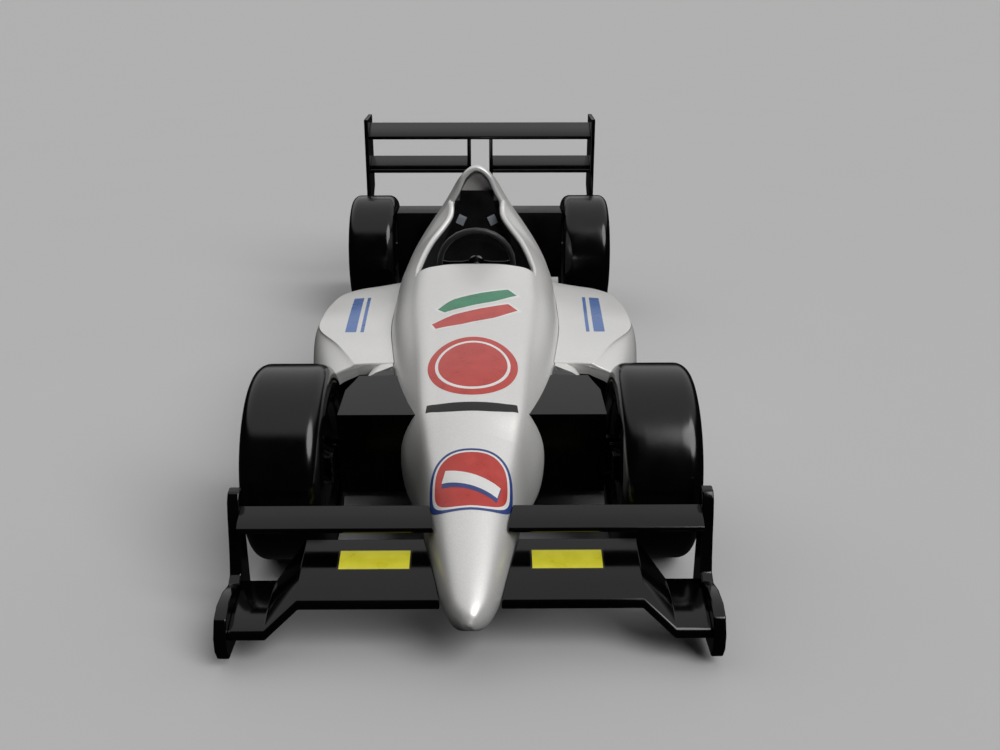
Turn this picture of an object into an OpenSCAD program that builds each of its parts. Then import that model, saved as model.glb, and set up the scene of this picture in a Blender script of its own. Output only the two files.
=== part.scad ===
// Open wheel racing car: monocoque, wings, sidepods, faired suspension, four wheels.
// Millimetres, +Z up, nose towards -Y. Shapes are laid out from the front axle,
// and shift_y puts the origin under the middle of the car.

/* [Running gear] */
// Distance between the axles
wheelbase = 2854; // [2500:1:3200]
// Tyre diameter, front and rear
tyre_d = 680; // [600:1:740]
// Tyre width over the sidewalls
tyre_w = 265; // [200:1:300]
// Width of the car over the tyres
overall_w = 1500; // [1440:1:1700]
// Rim diameter at the bead seats
rim_d = 394; // [340:1:430]
// Largest steering angle of a front wheel, degrees
steer_max = 12; // [5:1:14]
// Radius of the stub axles
axle_r = 19; // [14:0.5:24]
// Running clearance of a hub on its stub axle
axle_clear = 0.06; // [0.02:0.01:0.09]

/* [Body] */
// Distance from the front axle forward to the nose tip
nose_reach = 794; // [700:1:950]
// Half width of the monocoque at the cockpit
tub_half_w = 345; // [300:1:380]
// Wall of the monocoque
tub_wall = 26; // [15:1:35]
// Wall of the removable panels
panel_wall = 12; // [6:1:20]
// Height of the cowl at the dashboard
cowl_h = 767; // [720:1:820]
// Height of the roll hoop fairing
hoop_h = 1085; // [1000:1:1150]
// Gap between neighbouring body panels
panel_gap = 0.4; // [0.2:0.1:3]
// Ground clearance under the floor
ride_h = 48; // [35:1:80]
// Thickness of the floor panel
floor_t = 14; // [8:1:25]
// Half width over the sidepods
pod_half_w = 668; // [600:1:720]
// Height of the sidepod tops
pod_h = 578; // [500:1:600]

/* [Wings] */
// Thickness of the end plates
plate_t = 38; // [20:1:45]
// Chord of the rear wing elements
rear_chord = 165; // [120:1:200]
// Rearmost point of the rear end plates, from the rear axle
rear_reach = 660; // [610:1:760]
// Height of the rear end plates
rear_plate_h = 1070; // [950:1:1150]

/* [Cockpit] */
// Diameter of the steering wheel
steer_wheel_d = 350; // [260:1:380]
// Diameter of the steering wheel rim
steer_grip_d = 26; // [20:1:34]

/* [Hidden] */

$fn = 64;
left = 1;
right = -1;

// ---- places worked out from the driving dimensions ----
tyre_r = tyre_d / 2;
wheel_x = overall_w / 2 - tyre_w / 2;
tyre_in = overall_w / 2 - tyre_w;
y_tail = wheelbase + rear_reach;
shift_y = -(y_tail - nose_reach) / 2;

seat_gap = 0.3;
// centre and thickness of the plates that hold the rear wing
strut_x = 68;
strut_t = 22;
floor_top = ride_h + floor_t + seat_gap;

// kingpin, its height range, and the thickness of the arms that hold it
king_x = wheel_x - 40;
king_r = 8;
king_clear = 0.05;
king_z = [tyre_r - 48, tyre_r + 72];
arm_t = 18;

// fairings round the suspension, from the monocoque out to the wheels
pod_start = tyre_r + 36;
tongue_start = pod_start - 114;
front_box_y = [-100, tongue_start - seat_gap];
front_box_z = [270, 557];
front_box_x = tyre_in - 34;
rear_box_y = [wheelbase - 174, wheelbase + 26];
rear_box_z = [235, 620];
rear_box_x = tyre_in - 8;

// how far out a fixed piece may reach at y, clear of the tyre at full lock
function clear_x(y, gap = 9) =
    king_x - (king_x - tyre_in) * cos(steer_max)
    - (abs(y) + (king_x - tyre_in) * sin(steer_max)) * tan(steer_max) - gap;

// ---- curves ----
function hermite(p0, p1, m0, m1, t) =
    (2*t*t*t - 3*t*t + 1)*p0 + (t*t*t - 2*t*t + t)*m0 + (3*t*t - 2*t*t*t)*p1 + (t*t*t - t*t)*m1;

// index of the table row that starts the span holding y
function span_of(table, y, i = 0) =
    (i >= len(table) - 2 || y < table[i + 1][0]) ? i : span_of(table, y, i + 1);

// slope of column k at row i, from its neighbours
function slope(table, i, k) =
    let (a = max(i - 1, 0), b = min(i + 1, len(table) - 1))
    (table[b][k] - table[a][k]) / (table[b][0] - table[a][0]);

// smooth value of column k at y
function at_y(table, y, k) =
    let (i = span_of(table, y),
         d = table[i + 1][0] - table[i][0],
         t = min(max((y - table[i][0]) / d, 0), 1))
    hermite(table[i][k], table[i + 1][k], slope(table, i, k) * d, slope(table, i + 1, k) * d, t);

// one point of a smooth curve through pts, with u counting the points
function through(pts, u) =
    let (n = len(pts), i = min(max(floor(u), 1), n - 3), t = u - i)
    hermite(pts[i], pts[i + 1], (pts[i + 1] - pts[i - 1]) / 2, (pts[i + 2] - pts[i]) / 2, t);

// ---- the body's sections ----
// Each row: y, floor z, floor half width, lower side x, z, widest x, z,
// shoulder x, z (the cockpit rim, where there is one), crown x, z, top z
w = tub_half_w;
nose_end = -230;
cowl_end = 1040;
tub_end = 1750;
cover_end = wheelbase - 184;
function back(f) = tub_end + f * (cover_end - tub_end);
body_table = [
    [-nose_reach,        196,   3,   5, 198,   6, 201,   5, 204,   3, 206, 207],
    [-nose_reach + 14,   174,  15,  25, 184,  29, 203,  23, 221,  13, 230, 233],
    [-nose_reach + 62,   148,  38,  58, 169,  64, 206,  54, 241,  32, 260, 268],
    [-nose_reach + 180,  132,  62,  92, 165, 102, 225,  88, 290,  54, 326, 338],
    [-440,               134,  88, 128, 180, 140, 275, 122, 370,  74, 420, 438],
    [nose_end,           150, 116, 168, 215, 186, 350, 158, 486,  96, 530, 545],
    [-100,               172, 150, 226, 262, 240, 440, 178, 574, 108, 606, 618],
    [ 320,               100, 200, 292, 240, 304, 520, 212, 650, 130, 680, 692],
    [ 700,                floor_top, 260, w - 12, 250, w - 6, 570, 246, 692, 150, 728, 741],
    [cowl_end,            floor_top, 270, w - 5, 260, w, 590, 252, 724, 150, 760, cowl_h],
    [1160,                floor_top, 270, w - 5, 260, w + 1, 596, 250, 736, 146, 790, 800],
    [1360,                floor_top, 270, w - 5, 260, w + 1, 596, 208, 792, 110, 880, 930],
    [1500,                floor_top, 270, w - 6, 260, w, 590, 128, 878,  80, 990, hoop_h - 45],
    [1560,                floor_top, 268, w - 8, 260, w - 2, 588, 124, 930,  66, 1046, hoop_h],
    [1660,                floor_top, 264, w - 12, 258, w - 6, 584, 140, 920,  70, 1034, hoop_h - 10],
    [tub_end,             floor_top, 258, w - 18, 256, w - 12, 578, 146, 898,  74, 1012, hoop_h - 30],
    [back(0.27),          floor_top + 4, 236, 296, 250, 306, 556, 150, 828,  76, 936, hoop_h - 105],
    [back(0.71),          84, 204, 248, 240, 256, 500, 138, 706,  70, 798, hoop_h - 249],
    [cover_end,           98, 178, 208, 232, 212, 452, 120, 616,  62, 694, hoop_h - 350]];

// half section at y, with a mirrored point beyond each end
function section(y) =
    let (v = [for (k = [1:11]) at_y(body_table, y, k)], keel = max(v[0], floor_top))
    [[-v[1], keel], [0, keel], [v[1], keel], [v[2], v[3]], [v[4], v[5]],
     [v[6], v[7]], [v[8], v[9]], [0, v[10]], [-v[8], v[9]]];

// outline at y: the floor is flat up to u = 1, and the side curves from there
function outline(y, u) =
    let (s = section(y)) u < 1 ? [u * s[2][0], s[1][1]] : through(s, u + 1);

// point of the outer skin: u is 0 at the keel, 4 at the shoulder, 6 at the top; its sign is the side
function skin(y, u) =
    let (p = outline(y, abs(u)))
    [u < 0 ? -p[0] : p[0], y, p[1]];

// the same point, moved inwards by depth
function skin_in(y, u, depth) =
    let (e = 0.05,
         a = outline(y, max(abs(u) - e, 0)),
         b = outline(y, min(abs(u) + e, 6)),
         t = (b - a) / norm(b - a),
         p = outline(y, abs(u)),
         q = [max(p[0] - depth * t[1], 0), p[1] + depth * t[0]])
    abs(u) < 0.01 ? [0, y, p[1] + depth] :
    abs(u) > 5.99 ? [0, y, p[1] - depth] :
    [u < 0 ? -q[0] : q[0], y, q[1]];

// half width of the skin at height z between the lower side and the shoulder
function side_x(y, z) =
    lookup(z, [for (u = [1.6:0.1:4.01]) let (p = skin(y, u)) [p[2], p[0]]]);

// ---- meshes from grids of points ----
function strip(a, b, flip) = flip ? [[a[0], b[1], a[1]], [a[0], b[0], b[1]]]
                                  : [[a[0], a[1], b[1]], [a[0], b[1], b[0]]];

// closed solid between two grids of the same size
module between(outer, inner) {
    rows = len(outer);
    cols = len(outer[0]);
    n = rows * cols;
    polyhedron(
        points = concat([for (r = outer) each r], [for (r = inner) each r]),
        faces = [
            for (i = [0:rows - 2], j = [0:cols - 2]) each
                strip([i*cols + j, i*cols + j + 1], [(i + 1)*cols + j, (i + 1)*cols + j + 1], false),
            for (i = [0:rows - 2], j = [0:cols - 2]) each
                strip([n + i*cols + j, n + i*cols + j + 1],
                      [n + (i + 1)*cols + j, n + (i + 1)*cols + j + 1], true),
            for (i = [0:rows - 2], j = [0, cols - 1]) each
                strip([i*cols + j, (i + 1)*cols + j], [n + i*cols + j, n + (i + 1)*cols + j], j > 0),
            for (j = [0:cols - 2], i = [0, rows - 1]) each
                strip([i*cols + j, i*cols + j + 1], [n + i*cols + j, n + i*cols + j + 1], i == 0)],
        convexity = 8);
}

// closed solid through rings of points, with flat ends
module loft(rings) {
    rows = len(rings);
    cols = len(rings[0]);
    polyhedron(
        points = [for (r = rings) each r],
        faces = [
            for (i = [0:rows - 2], j = [0:cols - 1]) let (k = (j + 1) % cols) each
                strip([i*cols + j, i*cols + k], [(i + 1)*cols + j, (i + 1)*cols + k], false),
            [for (j = [cols - 1:-1:0]) j],
            [for (j = [0:cols - 1]) (rows - 1)*cols + j]],
        convexity = 6);
}

function steps(a, b, n) = [for (i = [0:n]) a + (b - a) * i / n];
function ring_u(n) = [for (j = [0:2*n - 1]) -6 + 6 * j / n];

// ---- body panels ----
fairing_start = 1560;

module body_solid(ys, n = 20) loft([for (y = ys) [for (u = ring_u(n)) skin(y, u)]]);

module nose_solid()
    body_solid(concat([0, 3, 14, 34, 62, 110] - [for (i = [0:5]) nose_reach],
                      steps(-nose_reach + 180, nose_end, 8)));
module nose_cone() color("white") nose_solid();

// part of the skin from side angle u0 round to u1
module skin_panel(ys, us, wall)
    between([for (y = ys) [for (u = us) skin(y, u)]],
            [for (y = ys) [for (u = us) skin_in(y, u, wall)]]);

// side angles over the top, from one shoulder to the other
seam_u = 4.02;
function across_top(n) = concat(steps(seam_u, 6, n), [for (i = [1:n]) -6 + (6 - seam_u) * i / n]);

tub_ys = steps(nose_end + panel_gap, tub_end, 30);
tub_us = steps(-4, 4, 28);
module monocoque() color("white") skin_panel(tub_ys, tub_us, tub_wall);

// the stretch of the body beside the front fairings, as a full solid with the tub's own facets
module tub_solid()
    loft([for (y = tub_ys) if (y < pod_start + 150) [for (u = concat(tub_us, across_top(7))) skin(y, u)]]);

module cowl() color("white")
    skin_panel(steps(nose_end + panel_gap, cowl_end, 18), across_top(7), panel_wall);

hoop_wall = 24;
module hoop_fairing() color("white")
    skin_panel(steps(fairing_start, tub_end, 5), across_top(8), hoop_wall);

module engine_cover() color("white")
    skin_panel(steps(tub_end + panel_gap, cover_end, 14),
               concat(steps(1.7, 6, 14), [for (i = [1:14]) -6 + 4.3 * i / 14]), panel_wall);

// ---- wheels ----
// from the sidewall round the bead to the inside of the tread: radius, distance from the sidewall
bead = rim_d / 2;
flange_h = 12;
bead_side = [[bead + 24, 4], [bead + flange_h + 0.3, 12], [bead + flange_h + 0.3, 22.3],
             [bead + 1.3, 24.3], [bead + 1.3, 42], [tyre_r - 40, 30], [tyre_r - 26, 50]];

// outline of the tyre: radius along x, width along y
module tyre_profile() {
    shoulder = 50;
    half = tyre_w / 2;
    polygon(concat(
        [for (a = [0:15:90]) [tyre_r - shoulder + shoulder * sin(a), -half + shoulder - shoulder * cos(a)]],
        [for (a = [90:-15:0]) [tyre_r - shoulder + shoulder * sin(a), half - shoulder + shoulder * cos(a)]],
        [for (p = bead_side) [p[0], half - p[1]]],
        [for (i = [len(bead_side) - 1:-1:0]) [bead_side[i][0], bead_side[i][1] - half]]));
}

module tyre() color("black") rotate([0, 90, 0]) rotate_extrude($fn = 96) tyre_profile();

// rim with its hub; the outer face looks along +X
module rim() color("dimgray") {
    half = tyre_w / 2;
    well = bead - 22;
    rotate([0, 90, 0]) {
        rotate_extrude($fn = 96)
            polygon([[well - 8, -half + 30], [bead - 6, -half + 20], [bead + flange_h, -half + 16],
                     [bead + flange_h, -half + 22], [bead + 1, -half + 24], [bead + 1, -half + 42],
                     [well, -half + 60], [well, half - 60], [bead + 1, half - 42], [bead + 1, half - 24],
                     [bead + flange_h, half - 22], [bead + flange_h, half - 16], [bead - 6, half - 20],
                     [well - 8, half - 40]]);
        // spoked disc
        difference() {
            translate([0, 0, half - 66]) cylinder(r = well - 4, h = 26);
            for (k = [0:7]) rotate(k * 45 + 22.5)
                translate([0, 0, half - 70]) linear_extrude(36)
                    polygon([[62, -12], [well - 22, -46], [well - 14, 0], [well - 22, 46], [62, 12]]);
            translate([0, 0, half - 70]) cylinder(r = axle_r + axle_clear, h = 36);
        }
        // hub barrel
        difference() {
            translate([0, 0, -6]) cylinder(r = 46, h = half - 60);
            translate([0, 0, -10]) cylinder(r = axle_r + axle_clear, h = half);
        }
    }
}

axle_end = overall_w / 2 - 40;
module at_wheel(side, y) translate([side * wheel_x, y, tyre_r])
    mirrored(side) children();

// ---- front suspension ----
module mirrored(side) mirror([side < 0 ? 1 : 0, 0, 0]) children();

module front_suspension(side) color("black") {
    difference() {
        mirrored(side) translate([0, 0, front_box_z[0]]) linear_extrude(front_box_z[1] - front_box_z[0])
            polygon([[100, front_box_y[0]], [front_box_x, front_box_y[0]], [front_box_x, 120],
                     [clear_x(200), 200], [clear_x(front_box_y[1]), front_box_y[1]],
                     [100, front_box_y[1]]]);
        tub_solid();
    }
    // upper and lower arms with their eyes on the kingpin
    mirrored(side) for (z = [king_z[0] - arm_t, king_z[1]]) difference() {
        union() {
            translate([front_box_x, -14, z]) cube([king_x - front_box_x, 28, arm_t]);
            translate([king_x, 0, z]) cylinder(r = 17, h = arm_t);
        }
        translate([king_x, 0, z - 1]) cylinder(r = king_r + king_clear, h = arm_t + 2);
    }
}

module knuckle(side) color("silver")
    mirrored(side) {
        translate([king_x - 20, -32, king_z[0] + seat_gap])
            cube([40, 64, king_z[1] - king_z[0] - 2 * seat_gap]);
        translate([king_x, 0, king_z[0] - arm_t]) cylinder(r = king_r, h = king_z[1] - king_z[0] + 2 * arm_t);
        translate([king_x, 0, tyre_r]) rotate([0, 90, 0]) cylinder(r = axle_r, h = axle_end - king_x);
    }

// scoop that cools the brake, carried by the knuckle inside the wheel
duct_x = [front_box_x + 26, king_x - 20 - seat_gap];
duct_y = [-100, 22];
duct_z = [king_z[0] + 10, king_z[1] - 10];
duct_t = 6;
module brake_duct(side) color("black")
    mirrored(side)
        difference() {
            translate([duct_x[0], duct_y[0], duct_z[0]])
                cube([duct_x[1] - duct_x[0], duct_y[1] - duct_y[0], duct_z[1] - duct_z[0]]);
            translate([duct_x[0] + duct_t, duct_y[0] - 1, duct_z[0] + duct_t])
                cube([duct_x[1] - duct_x[0] - 2 * duct_t, duct_y[1] - duct_y[0] - 20,
                      duct_z[1] - duct_z[0] - 2 * duct_t]);
        }

module rear_suspension(side) color("black")
    mirrored(side)
        translate([gearbox_half + seat_gap, rear_box_y[0], rear_box_z[0]])
            cube([rear_box_x - gearbox_half - seat_gap, rear_box_y[1] - rear_box_y[0], rear_box_z[1] - rear_box_z[0]]);

module rear_uprights() color("silver")
    for (side = [left, right]) mirrored(side) translate([0, wheelbase, 0]) {
        translate([king_x - 20, -40, king_z[0] - 40]) cube([40, 80, king_z[1] - king_z[0] + 60]);
        translate([rear_box_x, -22, tyre_r - 60]) cube([king_x - 20 - rear_box_x, 44, 120]);
        translate([king_x, 0, tyre_r]) rotate([0, 90, 0]) cylinder(r = axle_r, h = axle_end - king_x);
    }

// ---- sidepods ----
// Each row: y, inner top z, crease x, z, outer shoulder x, z, outer side x
pod_end = 1780;
pod_table = [
    [pod_start, pod_h - 12, 450, pod_h - 22, 556, 486, 574],
    [ 540, pod_h, 530, pod_h - 4, pod_half_w - 50, 490, pod_half_w - 38],
    [ 720, pod_h + 2, pod_half_w - 50, pod_h - 2, pod_half_w - 12, 500, pod_half_w - 6],
    [ 900, pod_h, pod_half_w - 36, pod_h - 6, pod_half_w - 4, 498, pod_half_w],
    [1150, pod_h - 12, pod_half_w - 36, pod_h - 30, pod_half_w - 6, 480, pod_half_w],
    [1400, pod_h - 36, pod_half_w - 60, pod_h - 58, pod_half_w - 26, 452, pod_half_w - 18],
    [1600, pod_h - 62, 530, pod_h - 88, 600, 420, 608],
    [1720, pod_h - 92, 460, pod_h - 124, 520, 370, 528],
    [pod_end, pod_h - 136, 400, pod_h - 176, 430, 320, 440]];

pod_gap = 2.5;
function pod_points(y) =
    let (v = [for (k = [1:6]) at_y(pod_table, y, k)], x_in = side_x(y, v[0]) + pod_gap)
    [[x_in - 40, v[0] + 3], [x_in, v[0]], [v[1] - 24, v[2] + 5], [v[1] + 12, v[2] - 6],
     [v[3], v[4]], [v[5], (v[4] + floor_top) / 2 + 40], [v[5] - 4, floor_top + 40],
     [v[5] - 18, floor_top], [v[5] - 60, floor_top - 8]];

function pod_skin(y, u) = let (p = through(pod_points(y), u + 1)) [p[0], y, p[1]];
function pod_in(y, u, depth) =
    let (a = pod_skin(y, max(u - 0.05, 0)), b = pod_skin(y, min(u + 0.05, 6)),
         t = (b - a) / norm(b - a), p = pod_skin(y, u), z = p[2] - depth * t[0])
    [max(p[0] + depth * t[2], side_x(y, z) + pod_gap), y, z];

// ring round the solid tongue that runs forward beside the tub, inside the sweep of the tyre
tongue_rings = 6;
function tongue_ring(t) =
    let (y = tongue_start + (pod_start - seat_gap - tongue_start) * t,
         z = front_box_z[1] - 1 + (pod_h - 11 - front_box_z[1]) * t, x1 = clear_x(y))
    concat([for (h = [130, 185, 240, 300, 360, 420, 480, z]) [side_x(y, h) + 2 * pod_gap, y, h]],
           [[x1 - 46, y, z - 6], [x1 - 14, y, z - 22], [x1, y, z - 62], [x1, y, 150], [x1 - 20, y, 130]]);

module sidepod(side) color("white")
    mirrored(side) {
        between([for (y = steps(pod_start, pod_end, 18)) [for (u = steps(0, 6, 18)) pod_skin(y, u)]],
                [for (y = steps(pod_start, pod_end, 18)) [for (u = steps(0, 6, 18)) pod_in(y, u, panel_wall)]]);
        loft([for (i = [0:tongue_rings]) tongue_ring(i / tongue_rings)]);
    }

module radiators() color("black")
    for (side = [left, right]) mirrored(side)
        translate([tub_half_w + 6, 620, floor_top]) cube([pod_half_w - tub_half_w - 60, 60, 380]);

floor_edge = [[200, 330], [340, pod_start], [590, pod_start], [pod_half_w - 34, 560], [pod_half_w, 830],
              [pod_half_w, 1150], [pod_half_w - 16, 1400], [608, 1600], [528, 1720], [440, pod_end],
              [240, 1900], [200, wheelbase - 354]];
module undertray() color("black")
    translate([0, 0, ride_h]) linear_extrude(floor_t)
        polygon(concat(floor_edge, [for (i = [len(floor_edge) - 1:-1:0]) [-floor_edge[i][0], floor_edge[i][1]]]));

// ---- engine and gearbox ----
engine_y = [tub_end + seat_gap, wheelbase - 424];
module engine() color("dimgray")
    translate([-190, engine_y[0], floor_top]) cube([380, engine_y[1] - engine_y[0], 500]);

// gearbox with the rear crash structure, a jacking bore and a towing eye
gearbox_half = 131;
gearbox_y = [engine_y[1] + seat_gap, wheelbase + 136, wheelbase + 436];
crash_half = strut_x - strut_t / 2;
tow_r = 15;
module gearbox() color("dimgray")
    difference() {
        union() {
            translate([-gearbox_half, gearbox_y[0], 190]) cube([2 * gearbox_half, gearbox_y[1] - gearbox_y[0], 330]);
            translate([-crash_half, gearbox_y[1], 230]) cube([2 * crash_half, y_tail - 120 - gearbox_y[1], 170]);
            translate([-6, y_tail - 120, 262]) cube([12, 62, 50]);
        }
        translate([-10, y_tail - 86, 287]) rotate([0, 90, 0]) cylinder(r = tow_r, h = 20);
    }

// ---- wings ----
// outline of a wing blade: round nose at the origin, chord along x, nearly flat underside
function blade_points(chord, thick) = concat(
    [for (a = [90:22.5:270]) [thick / 2 * (1 + cos(a)), thick / 2 * (1 + sin(a))]],
    [[chord * 0.35, thick * 0.02], [chord, thick * 0.35], [chord, thick * 0.55],
     [chord * 0.6, thick * 0.95], [chord * 0.3, thick * 1.12]]);

// blade spanning x0 to x1 with its nose at y, z, pitched nose down by pitch
module wing_element(x0, x1, y, z, chord, thick, pitch)
    translate([x0, y, z]) rotate([pitch, 0, 0]) rotate([90, 0, 90])
        linear_extrude(x1 - x0) polygon(blade_points(chord, thick));

wing_shift = 340 - tyre_r;
front_plate_x = overall_w / 2 + 5;
front_span = front_plate_x - plate_t;

// a blade's nose y, nose z, chord, thickness and pitch
inner_plane = [wing_shift - 650, 150, 250, 46, 24];
outer_plane = [wing_shift - 705, 80, 240, 46, 12];
flap_plane = [wing_shift - 500, 330, 100, 24, 26];

// ring of points round a blade; x grows by slant for each unit of y, from x at the blade's nose
function blade_ring(x, b, slant = 0) =
    [for (p = blade_points(b[2], b[3])) let (y = p[0] * cos(b[4]) - p[1] * sin(b[4]))
        [x + slant * y, b[0] + y, b[1] + p[0] * sin(b[4]) + p[1] * cos(b[4])]];

// half width of the nose beside a blade's leading and trailing edges, and the slant between them
function nose_side(b, f) =
    side_x(b[0] + f * b[2] * cos(b[4]), b[1] + 0.5 * b[3] + f * b[2] * sin(b[4])) + root_gap;
function nose_slant(b) = (nose_side(b, 0.95) - nose_side(b, 0.05)) / (0.9 * b[2] * cos(b[4]));
root_gap = 4;

// main plane: high beside the nose, stepping down and forward before the end plate
module front_wing(side) color("black")
    mirrored(side)
        loft([blade_ring(nose_side(inner_plane, 0.05), inner_plane, nose_slant(inner_plane)),
              blade_ring(518, inner_plane), blade_ring(612, outer_plane), blade_ring(front_span, outer_plane)]);

module front_flap(side) color("black")
    mirrored(side)
        loft([blade_ring(nose_side(flap_plane, 0.05), flap_plane, nose_slant(flap_plane)),
              blade_ring(front_span, flap_plane)]);

module front_endplate(side) color("black")
    mirrored(side)
        translate([front_span, wing_shift, 0]) rotate([90, 0, 90]) linear_extrude(plate_t)
            polygon([[-715, 32], [-735, 70], [-735, 116], [-708, 167], [-663, 188], [-589, 187], [-520, 168],
                     [-490, 185], [-478, 225], [-464, 290], [-452, 360], [-440, 410], [-420, 436],
                     [-390, 440], [-386, 430], [-386, 60], [-400, 32]]);

rear_plate_x = overall_w / 2 - 42;
rear_plate_t = 24;
rear_plate_y = [y_tail - 264, y_tail];
wing_y = y_tail - 240;
upper_z = 942;
lower_z = 736;
rear_pitch = 28;
rear_thick = 26;

module rear_endplate(side) color("black")
    mirrored(side)
        translate([rear_plate_x - rear_plate_t, 0, 0]) rotate([90, 0, 90]) linear_extrude(rear_plate_t)
            polygon([[rear_plate_y[0], 560], [rear_plate_y[0], rear_plate_h], [rear_plate_y[1], rear_plate_h],
                     [rear_plate_y[1], 620], [rear_plate_y[0] + 180, 560]]);

module rear_wing_upper() color("black")
    wing_element(rear_plate_t - rear_plate_x, rear_plate_x - rear_plate_t, wing_y, upper_z,
                 rear_chord, rear_thick, rear_pitch);

// two plates that carry the wing on the crash structure
module rear_wing_lower() color("black")
    for (side = [left, right]) mirrored(side)
        wing_element(strut_x + strut_t / 2, rear_plate_x - rear_plate_t, wing_y, lower_z,
                     rear_chord, rear_thick, rear_pitch);

module rear_wing_struts() color("black")
    difference() {
        for (side = [left, right])
            translate([side * strut_x - strut_t / 2, wing_y, 0]) rotate([90, 0, 90]) linear_extrude(strut_t)
                polygon([[-130, 240], [-130, 390], [10, 720], [24, 985], [112, 1010], [100, 720],
                         [60, 390], [60, 240]]);
        rear_wing_upper();
    }

// ---- cockpit ----
// back, base and side bolsters of the bucket seat, with harness slots beside the head
seat_w = 182;
seat_floor = floor_top + tub_wall + seat_gap;
seat_y = 1335;
seat_lean = 18;
seat_back_t = 26;
module seat() color("black") {
    translate([0, seat_y, seat_floor]) rotate([90 - seat_lean, 0, 0]) linear_extrude(seat_back_t)
        difference() {
            polygon([[76, 918], [82, 850], [112, 770], [156, 680], [seat_w, 590], [seat_w, 0],
                     [-seat_w, 0], [-seat_w, 590], [-156, 680], [-112, 770], [-82, 850], [-76, 918]]);
            for (s = [-1, 1]) translate([s * 64, 796]) rotate(s * 25) square([44, 16], center = true);
        }
    translate([-seat_w, seat_y - 220, seat_floor]) cube([2 * seat_w, 224, 40]);
    for (s = [-1, 1]) translate([s * (seat_w - 12) - 12, seat_y, seat_floor])
        rotate([90, 0, 90]) linear_extrude(24)
            polygon([[-220, 0], [-220, 90], [-150, 130], [-40, 190], [60, 420], [150, 500],
                     [500 * tan(seat_lean), 500], [0, 0]]);
}

// block behind the driver's head, shaped to the inside of the hoop fairing
firewall_y = 1672;
headrest_y = firewall_y - 53;
head_gap = 10.5;
module headrest() color("white")
    translate([0, firewall_y - seat_gap, 0]) rotate([90, 0, 0])
        linear_extrude(firewall_y - headrest_y - seat_gap)
            polygon(concat([for (u = steps(4.1, 5.5, 6)) plate_point(headrest_y, u, hoop_wall + head_gap)],
                           [for (u = steps(5.5, 4.1, 6))
                               let (p = plate_point(headrest_y, u, hoop_wall + head_gap)) [-p[0], p[1]]]));

// plate that fills the tub's inside from side angle u0 up to the shoulders
module tub_plate(y, t, u0, gap)
    translate([0, y + t, 0]) rotate([90, 0, 0]) linear_extrude(t)
        polygon([for (u = tub_us) if (abs(u) > u0) plate_point(y, u, tub_wall + gap)]);
function plate_point(y, u, depth) = let (p = skin_in(y, u, depth)) [p[0], p[2]];

module firewall() color("gray") tub_plate(firewall_y, 12, 1.4, 1.7);

steer_c = [0, 1236, 712];
steer_tilt = 12;
shaft_r = 9;
column_r = 16;
dash_y = 1020;
module at_steering() translate(steer_c) rotate([90 + steer_tilt, 0, 0]) children();

// rim, hub, three spokes and a stub shaft that turns in the column
module steering_wheel() color("black") at_steering() {
    rotate_extrude() translate([steer_wheel_d / 2 - steer_grip_d / 2, 0]) circle(d = steer_grip_d, $fn = 32);
    translate([0, 0, -8]) cylinder(r = 40, h = 16);
    for (a = [0, 180, 270]) rotate(a) translate([0, -16, -4]) cube([steer_wheel_d / 2 - 16, 32, 8]);
    cylinder(r = shaft_r, h = 90);
}

module steering_column() color("dimgray") at_steering()
    difference() {
        translate([0, 0, 20]) cylinder(r = column_r, h = (steer_c[1] - dash_y) / cos(steer_tilt) + 30);
        translate([0, 0, 10]) cylinder(r = shaft_r + king_clear, h = 81);
    }

module dash_panel() color("black") difference() {
    tub_plate(dash_y - 10, 10, 2.5, 0.6);
    at_steering() cylinder(r = column_r + seat_gap, h = 500);
}

// ---- every node in place ----
module place() translate([0, shift_y, 0]) children();

place() nose_cone();
place() front_wing(left);  // front_wing_left
place() front_wing(right);  // front_wing_right
place() front_flap(left);  // front_flap_left
place() front_flap(right);  // front_flap_right
place() front_endplate(left);  // front_endplate_left
place() front_endplate(right);  // front_endplate_right
place() monocoque();
place() cowl();
place() hoop_fairing();
place() engine_cover();
place() sidepod(left);  // sidepod_left
place() sidepod(right);  // sidepod_right
place() radiators();
place() undertray();
place() front_suspension(left);  // front_suspension_left
place() front_suspension(right);  // front_suspension_right
place() rear_suspension(left);  // rear_suspension_left
place() rear_suspension(right);  // rear_suspension_right
place() rear_uprights();
place() engine();
place() gearbox();
place() rear_wing_upper();
place() rear_wing_lower();
place() rear_endplate(left);  // rear_endplate_left
place() rear_endplate(right);  // rear_endplate_right
place() rear_wing_struts();
place() seat();
place() headrest();
place() firewall();
place() steering_column();
place() dash_panel();
place() steering_wheel();
place() knuckle(left);  // knuckle_left
place() knuckle(right);  // knuckle_right
place() brake_duct(left);  // brake_duct_left
place() brake_duct(right);  // brake_duct_right
place() at_wheel(left, 0) tyre();  // tyre_front_left
place() at_wheel(right, 0) tyre();  // tyre_front_right
place() at_wheel(left, wheelbase) tyre();  // tyre_rear_left
place() at_wheel(right, wheelbase) tyre();  // tyre_rear_right
place() at_wheel(left, 0) rim();  // rim_front_left
place() at_wheel(right, 0) rim();  // rim_front_right
place() at_wheel(left, wheelbase) rim();  // rim_rear_left
place() at_wheel(right, wheelbase) rim();  // rim_rear_right
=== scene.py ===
"""Looks of an open wheel racing car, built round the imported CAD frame.

Metres, +Z up, nose towards -Y. Body sections are laid out in millimetres from the front axle,
as in the part's source, and at() carries them into the frame.
"""
import math

import bmesh
import bpy
import numpy as np
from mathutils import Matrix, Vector
from mathutils.bvhtree import BVHTree


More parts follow.
